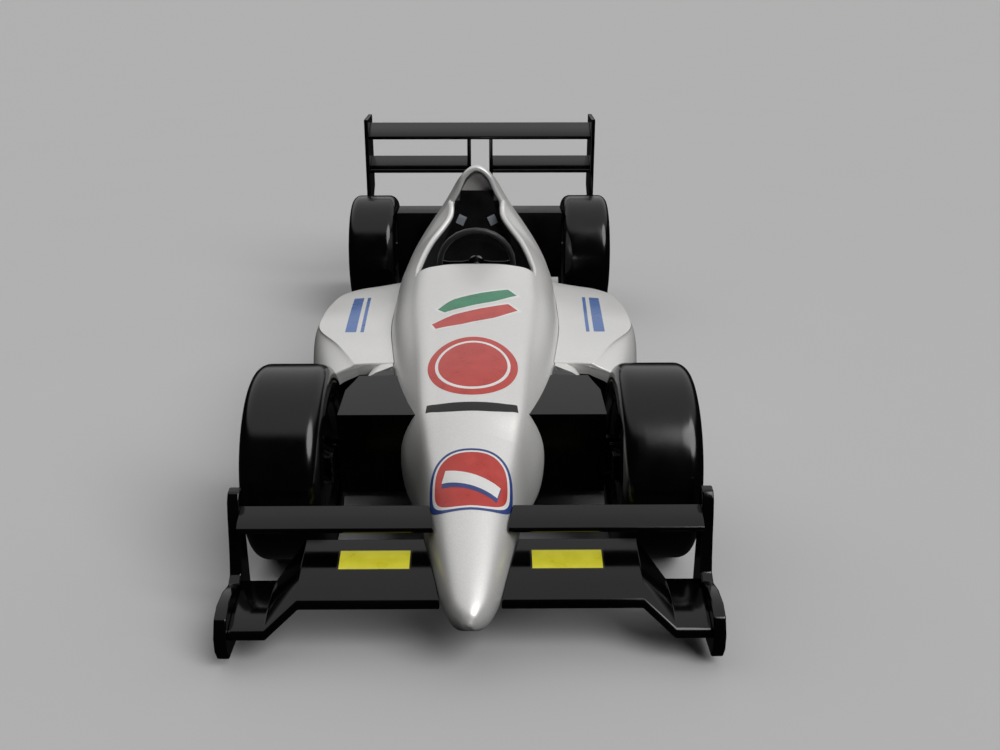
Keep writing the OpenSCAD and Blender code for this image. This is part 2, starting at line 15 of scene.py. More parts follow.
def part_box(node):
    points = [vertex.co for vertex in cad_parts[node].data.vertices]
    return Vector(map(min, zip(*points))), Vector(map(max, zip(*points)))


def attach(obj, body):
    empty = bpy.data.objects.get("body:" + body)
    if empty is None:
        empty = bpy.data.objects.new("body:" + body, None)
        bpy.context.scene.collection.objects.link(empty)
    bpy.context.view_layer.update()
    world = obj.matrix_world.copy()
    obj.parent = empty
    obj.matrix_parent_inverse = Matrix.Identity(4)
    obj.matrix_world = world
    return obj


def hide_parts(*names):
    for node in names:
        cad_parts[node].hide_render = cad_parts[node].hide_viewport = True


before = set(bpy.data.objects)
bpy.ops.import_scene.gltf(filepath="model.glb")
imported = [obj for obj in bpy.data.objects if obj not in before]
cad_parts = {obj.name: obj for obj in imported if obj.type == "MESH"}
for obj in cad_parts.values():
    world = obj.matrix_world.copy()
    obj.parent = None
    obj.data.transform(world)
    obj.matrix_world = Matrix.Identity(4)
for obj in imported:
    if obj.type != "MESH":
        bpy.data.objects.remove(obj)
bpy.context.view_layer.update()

MM = 0.001
SIDES = {"left": 1, "right": -1}
ENDS = ("front", "rear")


# ---- places read from the frame ----
def middle(node):
    low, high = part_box(node)
    return (low + high) / 2


def size(node):
    low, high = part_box(node)
    return high - low


AXLE_Y = {end: middle(f"tyre_{end}_left").y for end in ENDS}
WHEEL = middle("tyre_front_left")
TYRE_R, TYRE_W = size("tyre_front_left").z / 2, size("tyre_front_left").x
NOSE_TIP = AXLE_Y["front"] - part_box("nose_cone")[0].y
FLOOR_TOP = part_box("monocoque")[0].z
HOOP_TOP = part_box("hoop_fairing")[1].z
POD_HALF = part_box("sidepod_left")[1].x
RIM_R = size("rim_front_left").z / 2
WHEELBASE = AXLE_Y["rear"] - AXLE_Y["front"]

# stations along the body, in millimetres behind the front axle
NOSE_END, COWL_END, TUB_END, FAIRING_START = -230, 1040, 1750, 1560
COVER_END = round(WHEELBASE / MM) - 184
POD_START, POD_END = round(TYRE_R / MM) + 36, 1780
SEAM_U, SEAM_GAP = 4.0, 0.05
TUB_WALL, PANEL_WALL, HOOP_WALL = 26, 12, 24


def at(p):
    """A point in millimetres from the front axle, as a place in the frame."""
    return (p[0] * MM, p[1] * MM + AXLE_Y["front"], p[2] * MM)


# ---- the body's sections ----
def hermite(p0, p1, m0, m1, t):
    t2, t3 = t * t, t * t * t
    return (2 * t3 - 3 * t2 + 1) * p0 + (t3 - 2 * t2 + t) * m0 + (3 * t2 - 2 * t3) * p1 + (t3 - t2) * m1


def row_at(table, y):
    """Every column of the table at y, on a smooth curve through its rows."""
    rows = np.array(table, float)
    last = len(rows) - 1
    i = int(np.clip(np.searchsorted(rows[:, 0], y, side="right") - 1, 0, last - 1))

    def slope(k):
        a, b = max(k - 1, 0), min(k + 1, last)
        return (rows[b] - rows[a]) / (rows[b][0] - rows[a][0])

    span = rows[i + 1][0] - rows[i][0]
    t = min(max((y - rows[i][0]) / span, 0), 1)
    return hermite(rows[i], rows[i + 1], slope(i) * span, slope(i + 1) * span, t)[1:]


def through(points, u):
    """One point of a smooth curve through points, with u counting them."""
    i = min(max(int(math.floor(u)), 1), len(points) - 3)
    before, a, b, after = points[i - 1:i + 3]
    return hermite(a, b, (b - before) / 2, (after - a) / 2, u - i)


FLOOR = FLOOR_TOP / MM
HOOP = HOOP_TOP / MM
TUB = 345
# y, floor z, floor half width, lower side x z, widest x z, shoulder x z, crown x z, top z
BODY = [
    (-NOSE_TIP / MM, 196, 3, 5, 198, 6, 201, 5, 204, 3, 206, 207),
    (-NOSE_TIP / MM + 14, 174, 15, 25, 184, 29, 203, 23, 221, 13, 230, 233),
    (-NOSE_TIP / MM + 62, 148, 38, 58, 169, 64, 206, 54, 241, 32, 260, 268),
    (-NOSE_TIP / MM + 180, 132, 62, 92, 165, 102, 225, 88, 290, 54, 326, 338),
    (-440, 134, 88, 128, 180, 140, 275, 122, 370, 74, 420, 438),
    (NOSE_END, 150, 116, 168, 215, 186, 350, 158, 486, 96, 530, 545),
    (-100, 172, 150, 226, 262, 240, 440, 178, 574, 108, 606, 618),
    (320, 100, 200, 292, 240, 304, 520, 212, 650, 130, 680, 692),
    (700, FLOOR, 260, TUB - 12, 250, TUB - 6, 570, 246, 692, 150, 728, 741),
    (COWL_END, FLOOR, 270, TUB - 5, 260, TUB, 590, 252, 724, 150, 760, 767),
    (1160, FLOOR, 270, TUB - 5, 260, TUB + 1, 596, 250, 736, 146, 790, 800),
    (1360, FLOOR, 270, TUB - 5, 260, TUB + 1, 596, 208, 792, 110, 880, 930),
    (1500, FLOOR, 270, TUB - 6, 260, TUB, 590, 128, 878, 80, 990, HOOP - 45),
    (FAIRING_START, FLOOR, 268, TUB - 8, 260, TUB - 2, 588, 124, 930, 66, 1046, HOOP),
    (1660, FLOOR, 264, TUB - 12, 258, TUB - 6, 584, 140, 920, 70, 1034, HOOP - 10),
    (TUB_END, FLOOR, 258, TUB - 18, 256, TUB - 12, 578, 146, 898, 74, 1012, HOOP - 30),
    (TUB_END + 0.27 * (COVER_END - TUB_END), FLOOR + 4, 236, 296, 250, 306, 556, 150, 828, 76, 936,
     HOOP - 105),
    (TUB_END + 0.71 * (COVER_END - TUB_END), 84, 204, 248, 240, 256, 500, 138, 706, 70, 798, HOOP - 249),
    (COVER_END, 98, 178, 208, 232, 212, 452, 120, 616, 62, 694, HOOP - 350),
]
# y, inner top z, crease x z, outer shoulder x z, outer side x
POD_W, POD_H = POD_HALF / MM, 578
POD = [
    (POD_START, POD_H - 12, 450, POD_H - 22, 556, 486, 574),
    (540, POD_H, 530, POD_H - 4, POD_W - 50, 490, POD_W - 38),
    (720, POD_H + 2, POD_W - 50, POD_H - 2, POD_W - 12, 500, POD_W - 6),
    (900, POD_H, POD_W - 36, POD_H - 6, POD_W - 4, 498, POD_W),
    (1150, POD_H - 12, POD_W - 36, POD_H - 30, POD_W - 6, 480, POD_W),
    (1400, POD_H - 36, POD_W - 60, POD_H - 58, POD_W - 26, 452, POD_W - 18),
    (1600, POD_H - 62, 530, POD_H - 88, 600, 420, 608),
    (1720, POD_H - 92, 460, POD_H - 124, 520, 370, 528),
    (POD_END, POD_H - 136, 400, POD_H - 176, 430, 320, 440),
]


def body_section(y):
    floor_z, floor_x, lx, lz, wx, wz, sx, sz, cx, cz, top = row_at(BODY, y)
    keel = max(floor_z, FLOOR)
    points = [(-floor_x, keel), (0, keel), (floor_x, keel), (lx, lz), (wx, wz), (sx, sz), (cx, cz),
              (0, top), (-cx, cz)]
    return [np.array(p, float) for p in points]


def outline(section, u):
    if u < 1:
        return np.array([u * section[2][0], section[1][1]])
    return through(section, u + 1)


def skin_row(y, us, depth=0):
    """Points of the body's skin at y, moved inwards by depth. u is 0 at the keel and 6 at the top."""
    section = body_section(y)
    row = []
    for u in us:
        p = outline(section, abs(u))
        if depth:
            along = outline(section, min(abs(u) + 0.05, 6)) - outline(section, max(abs(u) - 0.05, 0))
            along = along / np.linalg.norm(along)
            p = np.array([max(p[0] - depth * along[1], 0), p[1] + depth * along[0]])
            if abs(u) < 0.01 or abs(u) > 5.99:
                p[0] = 0
        row.append((math.copysign(p[0], u), y, p[1]))
    return row


def side_x(y, z):
    """Half width of the body at height z."""
    section = body_section(y)
    side = [outline(section, u) for u in np.arange(1.6, 4.01, 0.1)]
    return float(np.interp(z, [p[1] for p in side], [p[0] for p in side]))


def steps(a, b, n):
    return [a + (b - a) * i / n for i in range(n + 1)]


# ---- mesh helpers ----
def link(name, mesh):
    piece = bpy.data.objects.new(name, mesh)
    bpy.context.scene.collection.objects.link(piece)
    return piece


def mesh_piece(name, points, faces, tidy=True):
    mesh = bpy.data.meshes.new(name)
    mesh.from_pydata([tuple(p) for p in points], [], faces)
    if tidy:
        work = bmesh.new()
        work.from_mesh(mesh)
        bmesh.ops.remove_doubles(work, verts=work.verts, dist=1e-5)
        bmesh.ops.recalc_face_normals(work, faces=work.faces)
        work.to_mesh(mesh)
        work.free()
    return link(name, mesh)


def settle(piece, sharp=32):
    """Makes the piece's modifiers part of its mesh, smooth but for edges above the sharp angle."""
    graph = bpy.context.evaluated_depsgraph_get()
    mesh = bpy.data.meshes.new_from_object(piece.evaluated_get(graph))
    piece.modifiers.clear()
    piece.data = mesh
    if sharp:
        mesh.shade_smooth()
        mesh.set_sharp_from_angle(angle=math.radians(sharp))
    return piece


def joined(name, pieces):
    """One piece from several, which are removed."""
    work = bmesh.new()
    for p in pieces:
        work.from_mesh(p.data)
    mesh = bpy.data.meshes.new(name)
    work.to_mesh(mesh)
    work.free()
    for p in pieces:
        bpy.data.objects.remove(p)
    return link(name, mesh)


def place(piece, material, body, stands_for=()):
    """Dresses a finished piece, and puts it on its body of the frame."""
    if material:
        piece.data.materials.clear()
        piece.data.materials.append(material)
    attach(piece, body)
    if stands_for:
        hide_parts(*stands_for)
    return piece


def grid_faces(rows, cols, start=0, closed=False):
    wrap = cols if closed else cols - 1
    return [(start + i * cols + j, start + i * cols + (j + 1) % cols,
             start + (i + 1) * cols + (j + 1) % cols, start + (i + 1) * cols + j)
            for i in range(rows - 1) for j in range(wrap)]


def capped_faces(rings, cols):
    """Faces of a closed tube through rings of cols points, with a lid on each end."""
    last = (rings - 1) * cols
    lids = [tuple(range(cols)), tuple(range(last + cols - 1, last - 1, -1))]
    return grid_faces(rings, cols, closed=True) + lids


def hoop_faces(turns, cols):
    """Faces of a tube that meets itself."""
    return [(i * cols + j, i * cols + (j + 1) % cols, (i + 1) % turns * cols + (j + 1) % cols,
             (i + 1) % turns * cols + j) for i in range(turns) for j in range(cols)]


def shell(name, outer, inner, rounded, width, segments=5):
    """Closed panel between two grids. rounded(i, j) says which of its rim corners are rounded over."""
    rows, cols = len(outer), len(outer[0])
    points = [p for grid in (outer, inner) for row in grid for p in row]
    n = rows * cols
    faces = grid_faces(rows, cols) + [f[::-1] for f in grid_faces(rows, cols, n)]
    rim = ([(i, 0) for i in range(rows)] + [(rows - 1, j) for j in range(1, cols)]
           + [(i, cols - 1) for i in range(rows - 2, -1, -1)] + [(0, j) for j in range(cols - 2, 0, -1)])
    index = [i * cols + j for i, j in rim]
    soft = set()
    for k in range(len(rim)):
        a, b = index[k - 1], index[k]
        faces.append((a, b, n + b, n + a))
        if rounded(*rim[k - 1]) and rounded(*rim[k]):
            soft |= {frozenset((a, b)), frozenset((n + a, n + b))}
    piece = mesh_piece(name, [at(p) for p in points], faces, tidy=False)
    mesh = piece.data
    weight = mesh.attributes.new("bevel_weight_edge", "FLOAT", "EDGE")
    for e in mesh.edges:
        if frozenset(e.vertices) in soft:
            weight.data[e.index].value = 1
    work = bmesh.new()
    work.from_mesh(mesh)
    bmesh.ops.recalc_face_normals(work, faces=work.faces)
    work.to_mesh(mesh)
    work.free()
    if soft:
        bevel = piece.modifiers.new("rim", "BEVEL")
        bevel.limit_method, bevel.width, bevel.segments = "WEIGHT", width * MM, segments
        bevel.use_clamp_overlap = False
    return settle(piece, 40)


def softened(node, width_mm, segments=3, angle=30):
    """A copy of a CAD node with its loose triangles merged and its hard edges rounded over."""
    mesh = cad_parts[node].data.copy()
    work = bmesh.new()
    work.from_mesh(mesh)
    bmesh.ops.remove_doubles(work, verts=work.verts, dist=1e-5)
    bmesh.ops.dissolve_limit(work, angle_limit=math.radians(1), verts=work.verts, edges=work.edges)
    work.to_mesh(mesh)
    work.free()
    piece = link(node + "_finished", mesh)
    bevel = piece.modifiers.new("edges", "BEVEL")
    bevel.limit_method, bevel.angle_limit = "ANGLE", math.radians(angle)
    bevel.width, bevel.segments = width_mm * MM, segments
    mesh.shade_smooth()
    flats = piece.modifiers.new("flats", "WEIGHTED_NORMAL")
    flats.keep_sharp, flats.weight = True, 90
    return settle(piece, sharp=None)


def lathe(name, profile, centre, side, turns=144):
    """Closed ring about a wheel's axle. profile is (radius, distance outboard of the middle), in mm."""
    points = []
    for k in range(turns):
        a = 2 * math.pi * k / turns
        points += [(centre.x + side * x * MM, centre.y + r * MM * math.sin(a),
                    centre.z + r * MM * math.cos(a)) for r, x in profile]
    return mesh_piece(name, points, hoop_faces(turns, len(profile)))


# ---- materials ----
def linear(hex_colour):
    """A hex sRGB colour as the linear RGBA that the nodes take."""
    channels = [int(hex_colour[i:i + 2], 16) / 255 for i in (1, 3, 5)]
    return tuple(c / 12.92 if c <= 0.04045 else ((c + 0.055) / 1.055) ** 2.4 for c in channels) + (1,)


def add(tree, kind, inputs=None, **settings):
    """Adds a node with its settings. An input is a value, or the socket that drives it."""
    made = tree.nodes.new(kind)
    for name, value in settings.items():
        setattr(made, name, value)
    for key, value in (inputs or {}).items():
        if isinstance(value, bpy.types.NodeSocket):
            tree.links.new(value, made.inputs[key])
        else:
            made.inputs[key].default_value = value
    return made


def per_mm(spacing):
    """Pattern scale for marks that lie spacing millimetres apart."""
    return 1 / (spacing * MM)


def surface(name, build, **shader):
    """A material whose build function returns the sockets that vary over the surface."""
    made = bpy.data.materials.new(name)
    made.use_nodes = True
    tree = made.node_tree
    tree.nodes.clear()
    place_on = add(tree, "ShaderNodeTexCoord").outputs["Object"]
    wired = build(tree, place_on)
    principled = add(tree, "ShaderNodeBsdfPrincipled", {**shader, **wired})
    add(tree, "ShaderNodeOutputMaterial", {"Surface": principled.outputs["BSDF"]})
    return made


def blend_of(tree, share, low, high):
    """Colour between two hex colours, by share."""
    return add(tree, "ShaderNodeMix", {0: share, 6: linear(low), 7: linear(high)},
               data_type="RGBA").outputs[2]


def stretch(tree, value, low, high, out_low=0.0, out_high=1.0):
    return add(tree, "ShaderNodeMapRange", {"Value": value, "From Min": low, "From Max": high,
                                            "To Min": out_low, "To Max": out_high}).outputs["Result"]


def bumped(tree, height, depth_mm):
    return add(tree, "ShaderNodeBump", {"Height": height, "Distance": depth_mm * MM,
                                        "Strength": 1.0}).outputs["Normal"]


def noise(tree, place_on, spacing_mm, detail):
    return add(tree, "ShaderNodeTexNoise", {"Vector": place_on, "Scale": per_mm(spacing_mm),
                                            "Detail": detail}).outputs["Fac"]


def painted(low, high, drift_mm, peel_mm, rough):
    """Sprayed paint: a slow drift between two near colours, orange peel, and roughness that varies."""
    def build(tree, place_on):
        drift = noise(tree, place_on, drift_mm, 3.0)
        peel = noise(tree, place_on, peel_mm, 1.0)
        return {"Base Color": blend_of(tree, stretch(tree, drift, 0.35, 0.65), low, high),
                "Roughness": stretch(tree, drift, 0.3, 0.7, rough[0], rough[1]),
                "Normal": bumped(tree, peel, 0.012)}
    return build


def pearl(tree, place_on):
    """Pearl basecoat: mica flakes drawn at 4 mm, coarse enough to show, under orange peel."""
    flakes = add(tree, "ShaderNodeTexVoronoi", {"Vector": place_on, "Scale": per_mm(4)})
    spark = stretch(tree, flakes.outputs["Distance"], 0.0, 0.7)
    drift = noise(tree, place_on, 420, 3.0)
    base = blend_of(tree, spark, "#E3E2DF", "#EFEEEC")
    cloudy = add(tree, "ShaderNodeMix", {0: stretch(tree, drift, 0.3, 0.7, 0.0, 0.25), 6: base,
                                         7: linear("#D6D6D3")}, data_type="RGBA").outputs[2]
    peel = noise(tree, place_on, 9, 1.0)
    return {"Base Color": cloudy, "Roughness": stretch(tree, drift, 0.3, 0.7, 0.34, 0.42),
            "Normal": bumped(tree, peel, 0.01)}


def rubber(tree, place_on):
    """Slick compound: fine scuffs round the tread and faint grey bloom."""
    scuff = noise(tree, place_on, 3, 4.0)
    bloom = noise(tree, place_on, 90, 3.0)
    return {"Base Color": blend_of(tree, stretch(tree, bloom, 0.35, 0.7), "#030303", "#050505"),
            "Roughness": stretch(tree, bloom, 0.3, 0.7, 0.14, 0.2),
            "Normal": bumped(tree, scuff, 0.015)}


def cast(low, high, grain_mm, depth_mm, rough):
    """Cast or blasted metal: a granular skin."""
    def build(tree, place_on):
        grain = noise(tree, place_on, grain_mm, 3.0)
        drift = noise(tree, place_on, 120, 2.0)
        return {"Base Color": blend_of(tree, drift, low, high),
                "Roughness": stretch(tree, drift, 0.3, 0.7, rough[0], rough[1]),
                "Normal": bumped(tree, grain, depth_mm)}
    return build


def twill(tree, place_on):
    """Carbon 2 by 2 twill under lacquer: tows drawn 9 mm wide so that they show."""
    split = add(tree, "ShaderNodeSeparateXYZ", {"Vector": place_on})
    tow = per_mm(9)
    across = add(tree, "ShaderNodeMath", {0: split.outputs["X"], 1: tow}, operation="MULTIPLY").outputs[0]
    tall = add(tree, "ShaderNodeMath", {0: split.outputs["Y"], 1: split.outputs["Z"]},
               operation="ADD").outputs[0]
    along = add(tree, "ShaderNodeMath", {0: tall, 1: tow}, operation="MULTIPLY").outputs[0]
    steps_of = [add(tree, "ShaderNodeMath", {0: v}, operation="FLOOR").outputs[0] for v in (across, along)]
    diagonal = add(tree, "ShaderNodeMath", {0: steps_of[0], 1: steps_of[1]}, operation="ADD").outputs[0]
    phase = add(tree, "ShaderNodeMath", {0: diagonal, 1: 4.0}, operation="FLOORED_MODULO").outputs[0]
    over = add(tree, "ShaderNodeMath", {0: phase, 1: 1.5}, operation="GREATER_THAN").outputs[0]
    return {"Base Color": blend_of(tree, over, "#08080A", "#18181B"),
            "Roughness": stretch(tree, over, 0.0, 1.0, 0.24, 0.36),
            "Normal": bumped(tree, over, 0.05)}


def woven(low, high, thread_mm):
    """Polyester webbing: diagonal threads, drawn wide enough to show."""
    def build(tree, place_on):
        # 0.314 is 2 pi / 20, about the length of one wave at a scale of 1
        threads = add(tree, "ShaderNodeTexWave",
                      {"Vector": place_on, "Scale": per_mm(thread_mm) * 0.314, "Distortion": 0.6},
                      bands_direction="DIAGONAL").outputs["Fac"]
        fuzz = noise(tree, place_on, 2, 3.0)
        return {"Base Color": blend_of(tree, threads, low, high),
                "Roughness": stretch(tree, fuzz, 0.3, 0.7, 0.75, 0.9),
                "Normal": bumped(tree, threads, 0.25)}
    return build


def brushed(low, high, rough):
    """Turned or brushed metal: fine marks."""
    def build(tree, place_on):
        marks = noise(tree, place_on, 1.6, 5.0)
        return {"Base Color": blend_of(tree, marks, low, high),
                "Roughness": stretch(tree, marks, 0.3, 0.7, rough[0], rough[1]),
                "Normal": bumped(tree, marks, 0.02)}
    return build


def vinyl(name, colour, deeper):
    """Cut vinyl film on the paint: flat colour with a slight cloudiness, as smooth as the lacquer."""
    return surface(name, painted(colour, deeper, 60, 9, (0.26, 0.34)), **{"Coat Weight": 0.3})


# pearl lacquer over a white basecoat, sprayed on the moulded panels: soft, wide highlights
PEARL = surface("sprayed_pearl_lacquer", pearl, Metallic=0.42,
                **{"Coat Weight": 0.3, "Coat Roughness": 0.2, "Coat IOR": 1.5})
# black two-pack enamel on wings and fairings: deep black with grey sheen on faces that see the sky
BLACK = surface("sprayed_black_enamel", painted("#020202", "#040404", 160, 8, (0.1, 0.15)))
# satin black enamel on the suspension fairings, sprayed thinner and less glossy
SATIN_BLACK = surface("sprayed_satin_black_enamel", painted("#020202", "#050505", 160, 8, (0.16, 0.22)),
                      **{"Specular IOR Level": 0.14})
# slick tyre compound, moulded: near black, with a clear sheen along the shoulders
RUBBER = surface("moulded_slick_rubber", rubber, **{"Specular IOR Level": 0.5})
# magnesium wheel, cast and lacquered: warm grey with a fine grain
MAGNESIUM = surface("cast_magnesium", cast("#4A4A4C", "#5E5E60", 1.4, 0.05, (0.34, 0.46)), Metallic=0.9)
# aluminium castings, sand blasted: paler, rougher grain
ALUMINIUM = surface("sand_cast_aluminium", cast("#77797C", "#8C8E91", 2.5, 0.12, (0.42, 0.55)), Metallic=0.9)
# steel turned on a lathe: bright with fine marks
STEEL = surface("turned_steel", brushed("#8D8F92", "#B4B6B8", (0.22, 0.34)), Metallic=1.0)
# cast iron brake disc, ground flat: grey, with marks of the pads
IRON = surface("ground_cast_iron", brushed("#5A5B5D", "#7C7D80", (0.3, 0.42)), Metallic=1.0)
# anodised aluminium lock nuts: a deep metallic red
NUT_RED = surface("anodised_aluminium_red", brushed("#8E1B14", "#A82A20", (0.25, 0.35)), Metallic=0.85)
# carbon fibre laid up in twill and lacquered: the weave just shows at grazing light
CARBON = surface("twill_carbon_fibre", twill, **{"Coat Weight": 0.6, "Coat Roughness": 0.08})
# brazed aluminium fins, matt black
CORE = surface("brazed_radiator_core", cast("#1B1C1E", "#2B2C2F", 2, 0.1, (0.5, 0.65)), Metallic=0.4)
# polyester harness webbing, woven
WEBBING = surface("woven_polyester_webbing", woven("#5A5E64", "#8A8F96", 5))
# suede grip stitched on the wheel: matt, with a nap
SUEDE = surface("stitched_suede", cast("#0B0B0C", "#191A1C", 1.5, 0.18, (0.5, 0.62)),
                **{"Sheen Weight": 0.2, "Coat Weight": 0.35, "Coat Roughness": 0.25})
# gel coat on the seat's shell and the steering wheel's spokes, moulded: black and glossy
GEL_COAT = surface("black_gel_coat", painted("#050505", "#0B0B0C", 120, 6, (0.2, 0.28)),
                   **{"Coat Weight": 0.5, "Coat Roughness": 0.08})
# cut vinyl films, as smooth as the lacquer under them
VINYL_RED = vinyl("vinyl_film_red", "#B8362F", "#C54139")
VINYL_WHITE = vinyl("vinyl_film_white", "#E4E3E1", "#EFEEEC")
VINYL_BLUE = vinyl("vinyl_film_blue", "#2F5FA6", "#3A6CB4")
VINYL_NAVY = vinyl("vinyl_film_navy", "#2C3F7C", "#364A8A")
VINYL_GREEN = vinyl("vinyl_film_green", "#1F7A55", "#2A8862")
VINYL_BLACK = vinyl("vinyl_film_black", "#0C0C0D", "#161617")
VINYL_YELLOW = vinyl("vinyl_film_yellow", "#D9D22E", "#E6DF3E")


# ---- body panels ----
def body_panel(name, ys, us, wall, rounded, stands_for):
    """Panel of the body's skin, wall thick, in place of a CAD node."""
    outer = [skin_row(y, us) for y in ys]
    inner = [skin_row(y, us, wall) for y in ys]
    panel = shell(name, outer, inner, rounded, wall * 0.42)
    return place(panel, PEARL, "chassis", (stands_for,))


def spread(a, b, gap, end_a=26, end_b=26):
    """Stations from a to b about gap apart, with a wider first and last step for the rounded rims."""
    return [a, *steps(a + end_a, b - end_b, max(2, round((b - a - end_a - end_b) / gap))), b]


def nose():
    """Nose cone, closed at the tip and at the bulkhead."""
    tip = -NOSE_TIP / MM
    ys = [tip + d for d in (0, 1, 3, 6, 10, 15, 21, 28, 36, 46, 58, 72, 90, 110, 135)]
    ys += steps(tip + 165, NOSE_END, 22)
    us = steps(-6, 6, 96)[:-1]
    points = [at(p) for y in ys for p in skin_row(y, us)]
    cone = settle(mesh_piece("nose_cone_shell", points, capped_faces(len(ys), len(us))), 60)
    return place(cone, PEARL, "chassis", ("nose_cone",))


def across_top(n):
    """Stations over the top of the body from seam to seam, with a narrow first step for the rim."""
    half = [SEAM_U, *steps(SEAM_U + 0.1, 6, n)]
    return half + [-u for u in reversed(half[:-1])]


def body_shell():
    """Nose cone, tub, cowl, hoop fairing and engine cover. Returns the two that carry decals."""
    cone = nose()
    tub_ys = spread(NOSE_END + SEAM_GAP, COWL_END, 16) + spread(COWL_END, TUB_END, 12)[1:]
    tub_us = [-SEAM_U, *steps(0.08 - SEAM_U, SEAM_U - 0.08, 130), SEAM_U]
    last = len(tub_us) - 1
    body_panel("monocoque_shell", tub_ys, tub_us, TUB_WALL,
               lambda i, j: j in (0, last) and COWL_END - 1 <= tub_ys[i] <= FAIRING_START + 2, "monocoque")
    top = across_top(34)
    cowl_ys = spread(NOSE_END + SEAM_GAP, COWL_END, 16)
    cowl = body_panel("cowl_panel", cowl_ys, top, PANEL_WALL, lambda i, j: i == len(cowl_ys) - 1, "cowl")
    arch_ys = spread(FAIRING_START, TUB_END, 12)
    body_panel("hoop_fairing_panel", arch_ys, top, HOOP_WALL, lambda i, j: i == 0, "hoop_fairing")
    cover_ys = spread(TUB_END + SEAM_GAP, COVER_END, 16)
    half = steps(1.7, 6, 60)
    body_panel("engine_cover_panel", cover_ys, half + [-u for u in reversed(half[:-1])], PANEL_WALL,
               lambda i, j: i == len(cover_ys) - 1 or j in (0, 2 * len(half) - 2), "engine_cover")
    return cone, cowl


# ---- sidepods ----
POD_GAP = 2.5
# section of the inlet's lip: distance behind the sidepod's front edge, and depth under its skin
INLET_LIP = [(1, 1), (3, 24), (13, 52), (18, 52), (8, 20), (7, 1)]
# the fairing's paint line, seen from above, at its outer and inner ends
PAINT_LINE = (510, 194), (300, 346)
STEER_MAX = math.radians(12)


def pod_section(y):
    """Points round a sidepod's outline at y, from under the body's side out and down to the floor."""
    top, crease_x, crease_z, out_x, out_z, side = row_at(POD, y)
    inner = side_x(y, top) + POD_GAP
    points = [(inner - 40, top + 3), (inner, top), (crease_x - 24, crease_z + 5),
              (crease_x + 12, crease_z - 6), (out_x, out_z), (side, (out_z + FLOOR) / 2 + 40),
              (side - 4, FLOOR + 40), (side - 18, FLOOR), (side - 60, FLOOR - 8)]
    return [np.array(p, float) for p in points]


def pod_row(y, us, depth=0):
    """Points of a sidepod's skin at y, moved inwards by depth."""
    section = pod_section(y)
    row = []
    for u in us:
        p = through(section, u + 1)
        if depth:
            along = through(section, min(u + 0.05, 6) + 1) - through(section, max(u - 0.05, 0) + 1)
            along = along / np.linalg.norm(along)
            p = np.array([p[0] + depth * along[1], p[1] - depth * along[0]])
            p[0] = max(p[0], side_x(y, p[1]) + POD_GAP)
        row.append((p[0], y, p[1]))
    return row


def flip_x(points, side):
    return [(p[0] * side, p[1], p[2]) for p in points]


def sidepods():
    """Both sidepods, each with its inlet lip and the fairing ahead of it, black at the inner corner."""
    ys = spread(POD_START, POD_END, 14, 16, 16)
    us = steps(0, 6, 72)
    outer = [pod_row(y, us) for y in ys]
    inner = [pod_row(y, us, PANEL_WALL) for y in ys]
    made = {}
    for word, side in SIDES.items():
        pod = shell(f"sidepod_{word}_shell", [flip_x(r, side) for r in outer],
                    [flip_x(r, side) for r in inner], lambda i, j: i in (0, len(ys) - 1),
                    PANEL_WALL * 0.45, 4)
        lip_rows = [flip_x(pod_row(POD_START + behind, us, depth), side) for behind, depth in INLET_LIP]
        lip = settle(mesh_piece("inlet_lip", [at(p) for row in lip_rows for p in row],
                                grid_faces(len(lip_rows), len(us))), 40)
        tongue = tongue_piece(word, side)
        place(split_off(tongue, side), BLACK, "chassis")
        made[word] = place(joined(f"sidepod_{word}_panel", [pod, lip, tongue]), PEARL, "chassis",
                           (f"sidepod_{word}",))
        made[word].data.shade_smooth()
        made[word].data.set_sharp_from_angle(angle=math.radians(40))
    return made


def tongue_piece(word, side):
    """Solid fairing that runs forward from the sidepod beside the monocoque, inside the tyre's sweep."""
    start, end = POD_START - 114, POD_START - 0.3
    rings = []
    for y in steps(start, end, 12):
        t = (y - start) / (end - start)
        z = 556 + (POD_H - 568) * t
        x1 = sweep_x(y)
        inner = [(side_x(y, h) + 2 * POD_GAP, y, h) for h in (130, 185, 240, 300, 360, 420, 480, z)]
        outer = [(x1 - 46, y, z - 6), (x1 - 14, y, z - 22), (x1, y, z - 62), (x1, y, 150), (x1 - 20, y, 130)]
        rings.append(inner + outer)
    cols = len(rings[0])
    points = [at((p[0] * side, p[1], p[2])) for r in rings for p in r]
    piece = mesh_piece(f"tongue_{word}", points, capped_faces(len(rings), cols))
    bevel = piece.modifiers.new("edges", "BEVEL")
    bevel.limit_method, bevel.angle_limit, bevel.width, bevel.segments = "ANGLE", math.radians(22), 0.006, 3
    return settle(piece, 40)


def split_off(piece, side):
    """Cuts the front inner corner off the fairing along the paint line, and returns it."""
    corner = piece.copy()
    corner.data = piece.data.copy()
    corner.name = f"{piece.name}_black"
    bpy.context.scene.collection.objects.link(corner)
    start, end = (Vector(at((side * x, y, 0))) for x, y in PAINT_LINE)
    across = (end - start).cross(Vector((0, 0, side))).normalized()
    for target, keep in ((corner, True), (piece, False)):
        work = bmesh.new()
        work.from_mesh(target.data)
        cut = bmesh.ops.bisect_plane(work, geom=[*work.verts, *work.edges, *work.faces], plane_co=start,
                                     plane_no=across, clear_outer=keep, clear_inner=not keep)
        rim = [e for e in cut["geom_cut"] if isinstance(e, bmesh.types.BMEdge)]
        bmesh.ops.contextual_create(work, geom=rim)
        work.to_mesh(target.data)
        work.free()
    return corner


